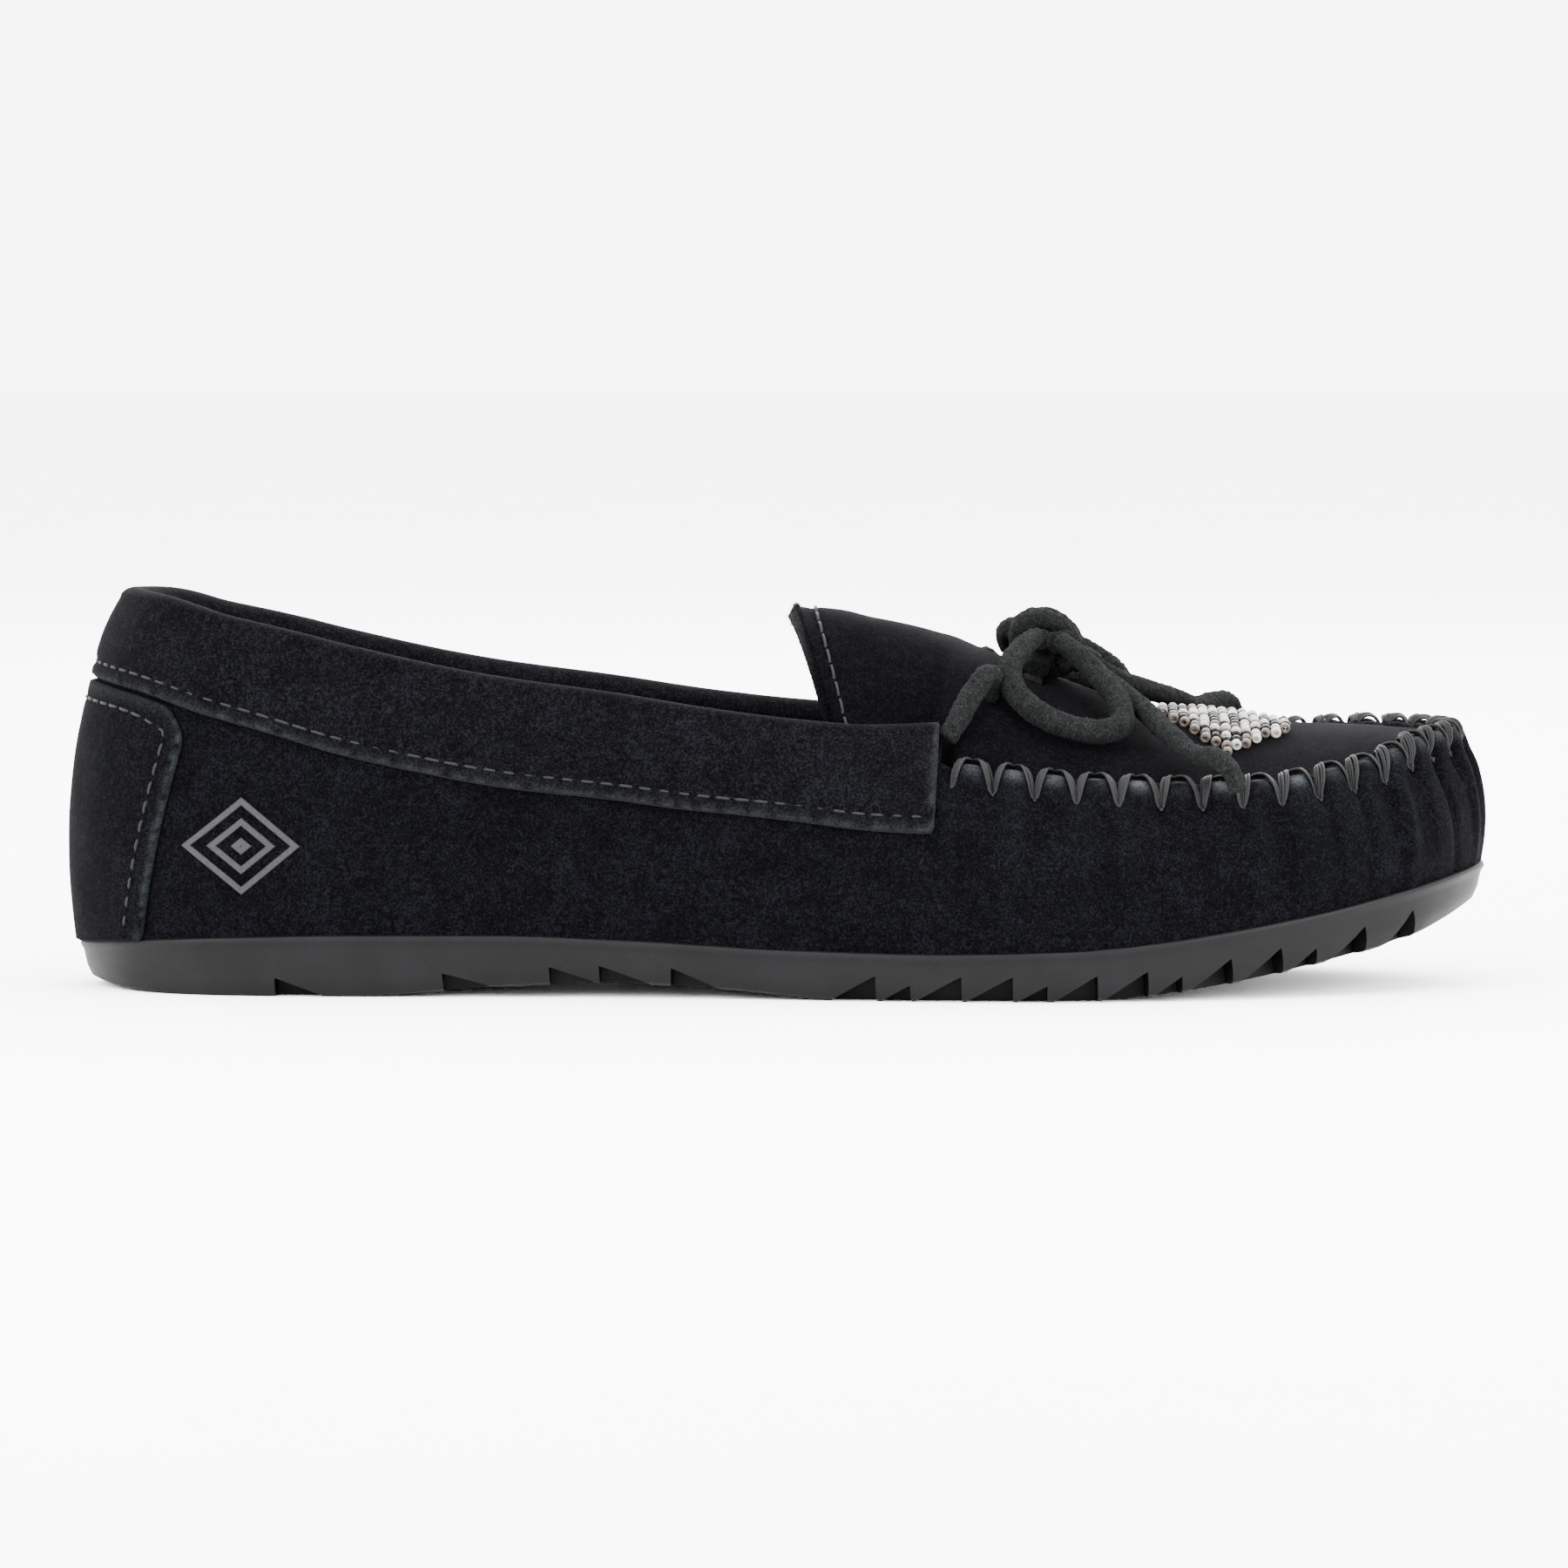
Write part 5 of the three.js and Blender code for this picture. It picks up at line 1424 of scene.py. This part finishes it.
def groove(u, turn, wide, deep):
    """A cutter for one groove across the tread."""
    near, far = (plan_point(float(round_at(u, side)))[1] for side in ("outer", "inner"))
    middle = np.array([(u - 0.5) * SOLE_LENGTH, (near + far) / 2, sole_bottom(u)])
    half = (far - near) / 2 - TREAD_MARGIN
    along = np.array([math.cos(turn), math.sin(turn), sole_slope(u)])
    across = np.array([-math.sin(turn), math.cos(turn), 0])
    verts = []
    for c in (-half, half):
        for a, b in ((-wide / 2, -3), (-wide / 3, deep), (wide / 3, deep), (wide / 2, -3)):
            verts.append(middle + along * a + across * c + np.array([0, 0, b]))
    faces = [(0, 1, 2, 3), (7, 6, 5, 4)]
    faces += [(k, k + 4, (k + 1) % 4 + 4, (k + 1) % 4) for k in range(4)]
    return np.array(verts), faces


def cut_away(obj, parts, name):
    verts, faces = joined(parts)
    # The cutter's faces become the walls of the cuts and keep its darker rubber: painted shade in the
    # recesses.
    cutter = make(name, verts, faces, [M["rubber_painted_shade"]])
    modifier = obj.modifiers.new("cut", "BOOLEAN")
    modifier.material_mode = "TRANSFER"
    modifier.operation = "DIFFERENCE"
    modifier.solver = "EXACT"
    modifier.use_self = True
    modifier.object = cutter
    bpy.context.view_layer.update()
    mesh = bpy.data.meshes.new_from_object(obj.evaluated_get(bpy.context.evaluated_depsgraph_get()))
    bm = bmesh.new()
    bm.from_mesh(mesh)
    weld_corners(bm)
    bm.to_mesh(mesh)
    bm.free()
    mesh.validate()
    obj.modifiers.clear()
    obj.data = mesh
    bpy.data.objects.remove(cutter)


def outsole():
    obj = outsole_blank()
    parts = []
    for side in ("outer", "inner"):
        u, k = NOTCHES_FROM, 0
        while u < NOTCHES_TO:
            long = NOTCH_SHORT if k % 3 == 1 else NOTCH_LONG
            parts.append(wedge(u, side, long, long * NOTCH_RISE, True))
            u += ((NOTCH_SHORT if k % 3 == 0 else NOTCH_LONG) + 0.7) / SOLE_LENGTH
            k += 1
        parts += [wedge(u, side, HEEL_NOTCH_LONG, HEEL_NOTCH_HIGH, False) for u in HEEL_NOTCHES]
    cut_away(obj, parts, "notches")
    treads = [groove(u, 0.2 if k % 2 else -0.2, 2.4, 1.1)
              for k, u in enumerate(np.arange(0.56, 0.9, 0.041))]
    treads += [groove(u, 0.12 if k % 2 else -0.12, 2.2, 1.0)
               for k, u in enumerate((0.05, 0.1, 0.15, 0.2))]
    cut_away(obj, treads, "treads")
    obj.data.polygons.foreach_set("use_smooth", [True] * len(obj.data.polygons))
    obj.data.set_sharp_from_angle(angle=math.radians(34))
    finish_piece(obj, "shoe", "rubber_sole", "outsole")


# ---- Beads -----------------------------------------------------------------------------------------
BEAD_STEP_X, BEAD_STEP_Y = 1.86, 2.1
BEAD_RADIUS, BEAD_RISE = (0.93, 1.04), 0.78


def bead_mesh(centre, axis, normal, radius):
    """A seed bead: a short round-edged ring with its hole along `axis`."""
    profile = [(-0.62, 0.42), (-0.72, 0.66), (-0.52, 0.92), (0, 1.0), (0.52, 0.92), (0.72, 0.66),
               (0.62, 0.42)]
    side = np.cross(axis, normal)
    rings = []
    for k in range(12):
        a = k * math.pi / 6
        out = math.cos(a) * normal + math.sin(a) * side
        rings.append([centre + radius * (p * axis + r * out) for p, r in profile])
    verts = np.array(rings).reshape(-1, 3)
    count = len(profile)
    faces = []
    for k in range(12):
        a, b = k * count, ((k + 1) % 12) * count
        faces += [(a + j, b + j, b + (j + 1) % count, a + (j + 1) % count) for j in range(count)]
    return verts, faces


def bead_colour(ring, along):
    """Own pattern: nested lozenges, with a checked band between the plain ones."""
    if ring == 0:
        return 1 if along % 4 < 2 else 0
    if ring == 3:
        return 0 if along % 2 else 1
    return 2 if ring in (1, 4) else 0


def beads():
    middle = (TRIM_FROM + TRIM_TO) / 2
    i, j = (k.ravel() for k in np.meshgrid(np.arange(-7, 8), np.arange(-9, 10), indexing="ij"))
    x, y = i * BEAD_STEP_X, (j + 0.5 * (i % 2)) * BEAD_STEP_Y
    far = np.abs(x) / ((TRIM_TO - TRIM_FROM) / 2 + 0.4) + np.abs(y) / (TRIM_HALF + 0.5)
    i, j, x, y, far = (k[far <= 1] for k in (i, j, x, y, far))
    random = np.random.default_rng(12)
    x = middle + x + random.uniform(-0.1, 0.1, len(x))
    y = y + random.uniform(-0.1, 0.1, len(y))
    z = roof_height(x, y)
    slope_x = (roof_height(x + 0.6, y) - roof_height(x - 0.6, y)) / 1.2
    slope_y = (roof_height(x, y + 0.6) - roof_height(x, y - 0.6)) / 1.2
    normals = np.stack([-slope_x, -slope_y, np.ones_like(z)], -1)
    normals /= np.linalg.norm(normals, axis=1, keepdims=True)
    parts, colours = [], []
    for n in range(len(x)):
        turn = random.uniform(-0.2, 0.2)
        axis = np.array([math.sin(turn), math.cos(turn), 0.0])
        axis -= normals[n] * np.dot(axis, normals[n])
        axis /= np.linalg.norm(axis)
        centre = np.array([x[n], y[n], z[n]]) + normals[n] * BEAD_RISE
        part = bead_mesh(centre, axis, normals[n], random.uniform(*BEAD_RADIUS))
        parts.append(part)
        colours += [bead_colour(int((1 - far[n]) * 6), i[n] + j[n])] * len(part[1])
    verts, faces = joined(parts)
    obj = make("seed_beads", verts, faces, [M["white"], M["taupe"], M["black"]], colours)
    finish_piece(obj, "shoe", "glass_beads", "bead_trim")


# ---- Everything ------------------------------------------------------------------------------------
studio()
lace()
wrapper()
seam_stitches()
plug_and_tongue()
tongue_stitches()
collar()
collar_stitches()
heel_patch()
patch_stitches()
side_mark()
linings()
footbed()
outsole()
beads()
keep_cad("bottom_filler", M["cork"])
keep_cad("insole_board", M["board"])
keep_cad("heel_counter", M["board"])
keep_cad("lace_in_collar", M["lace"])
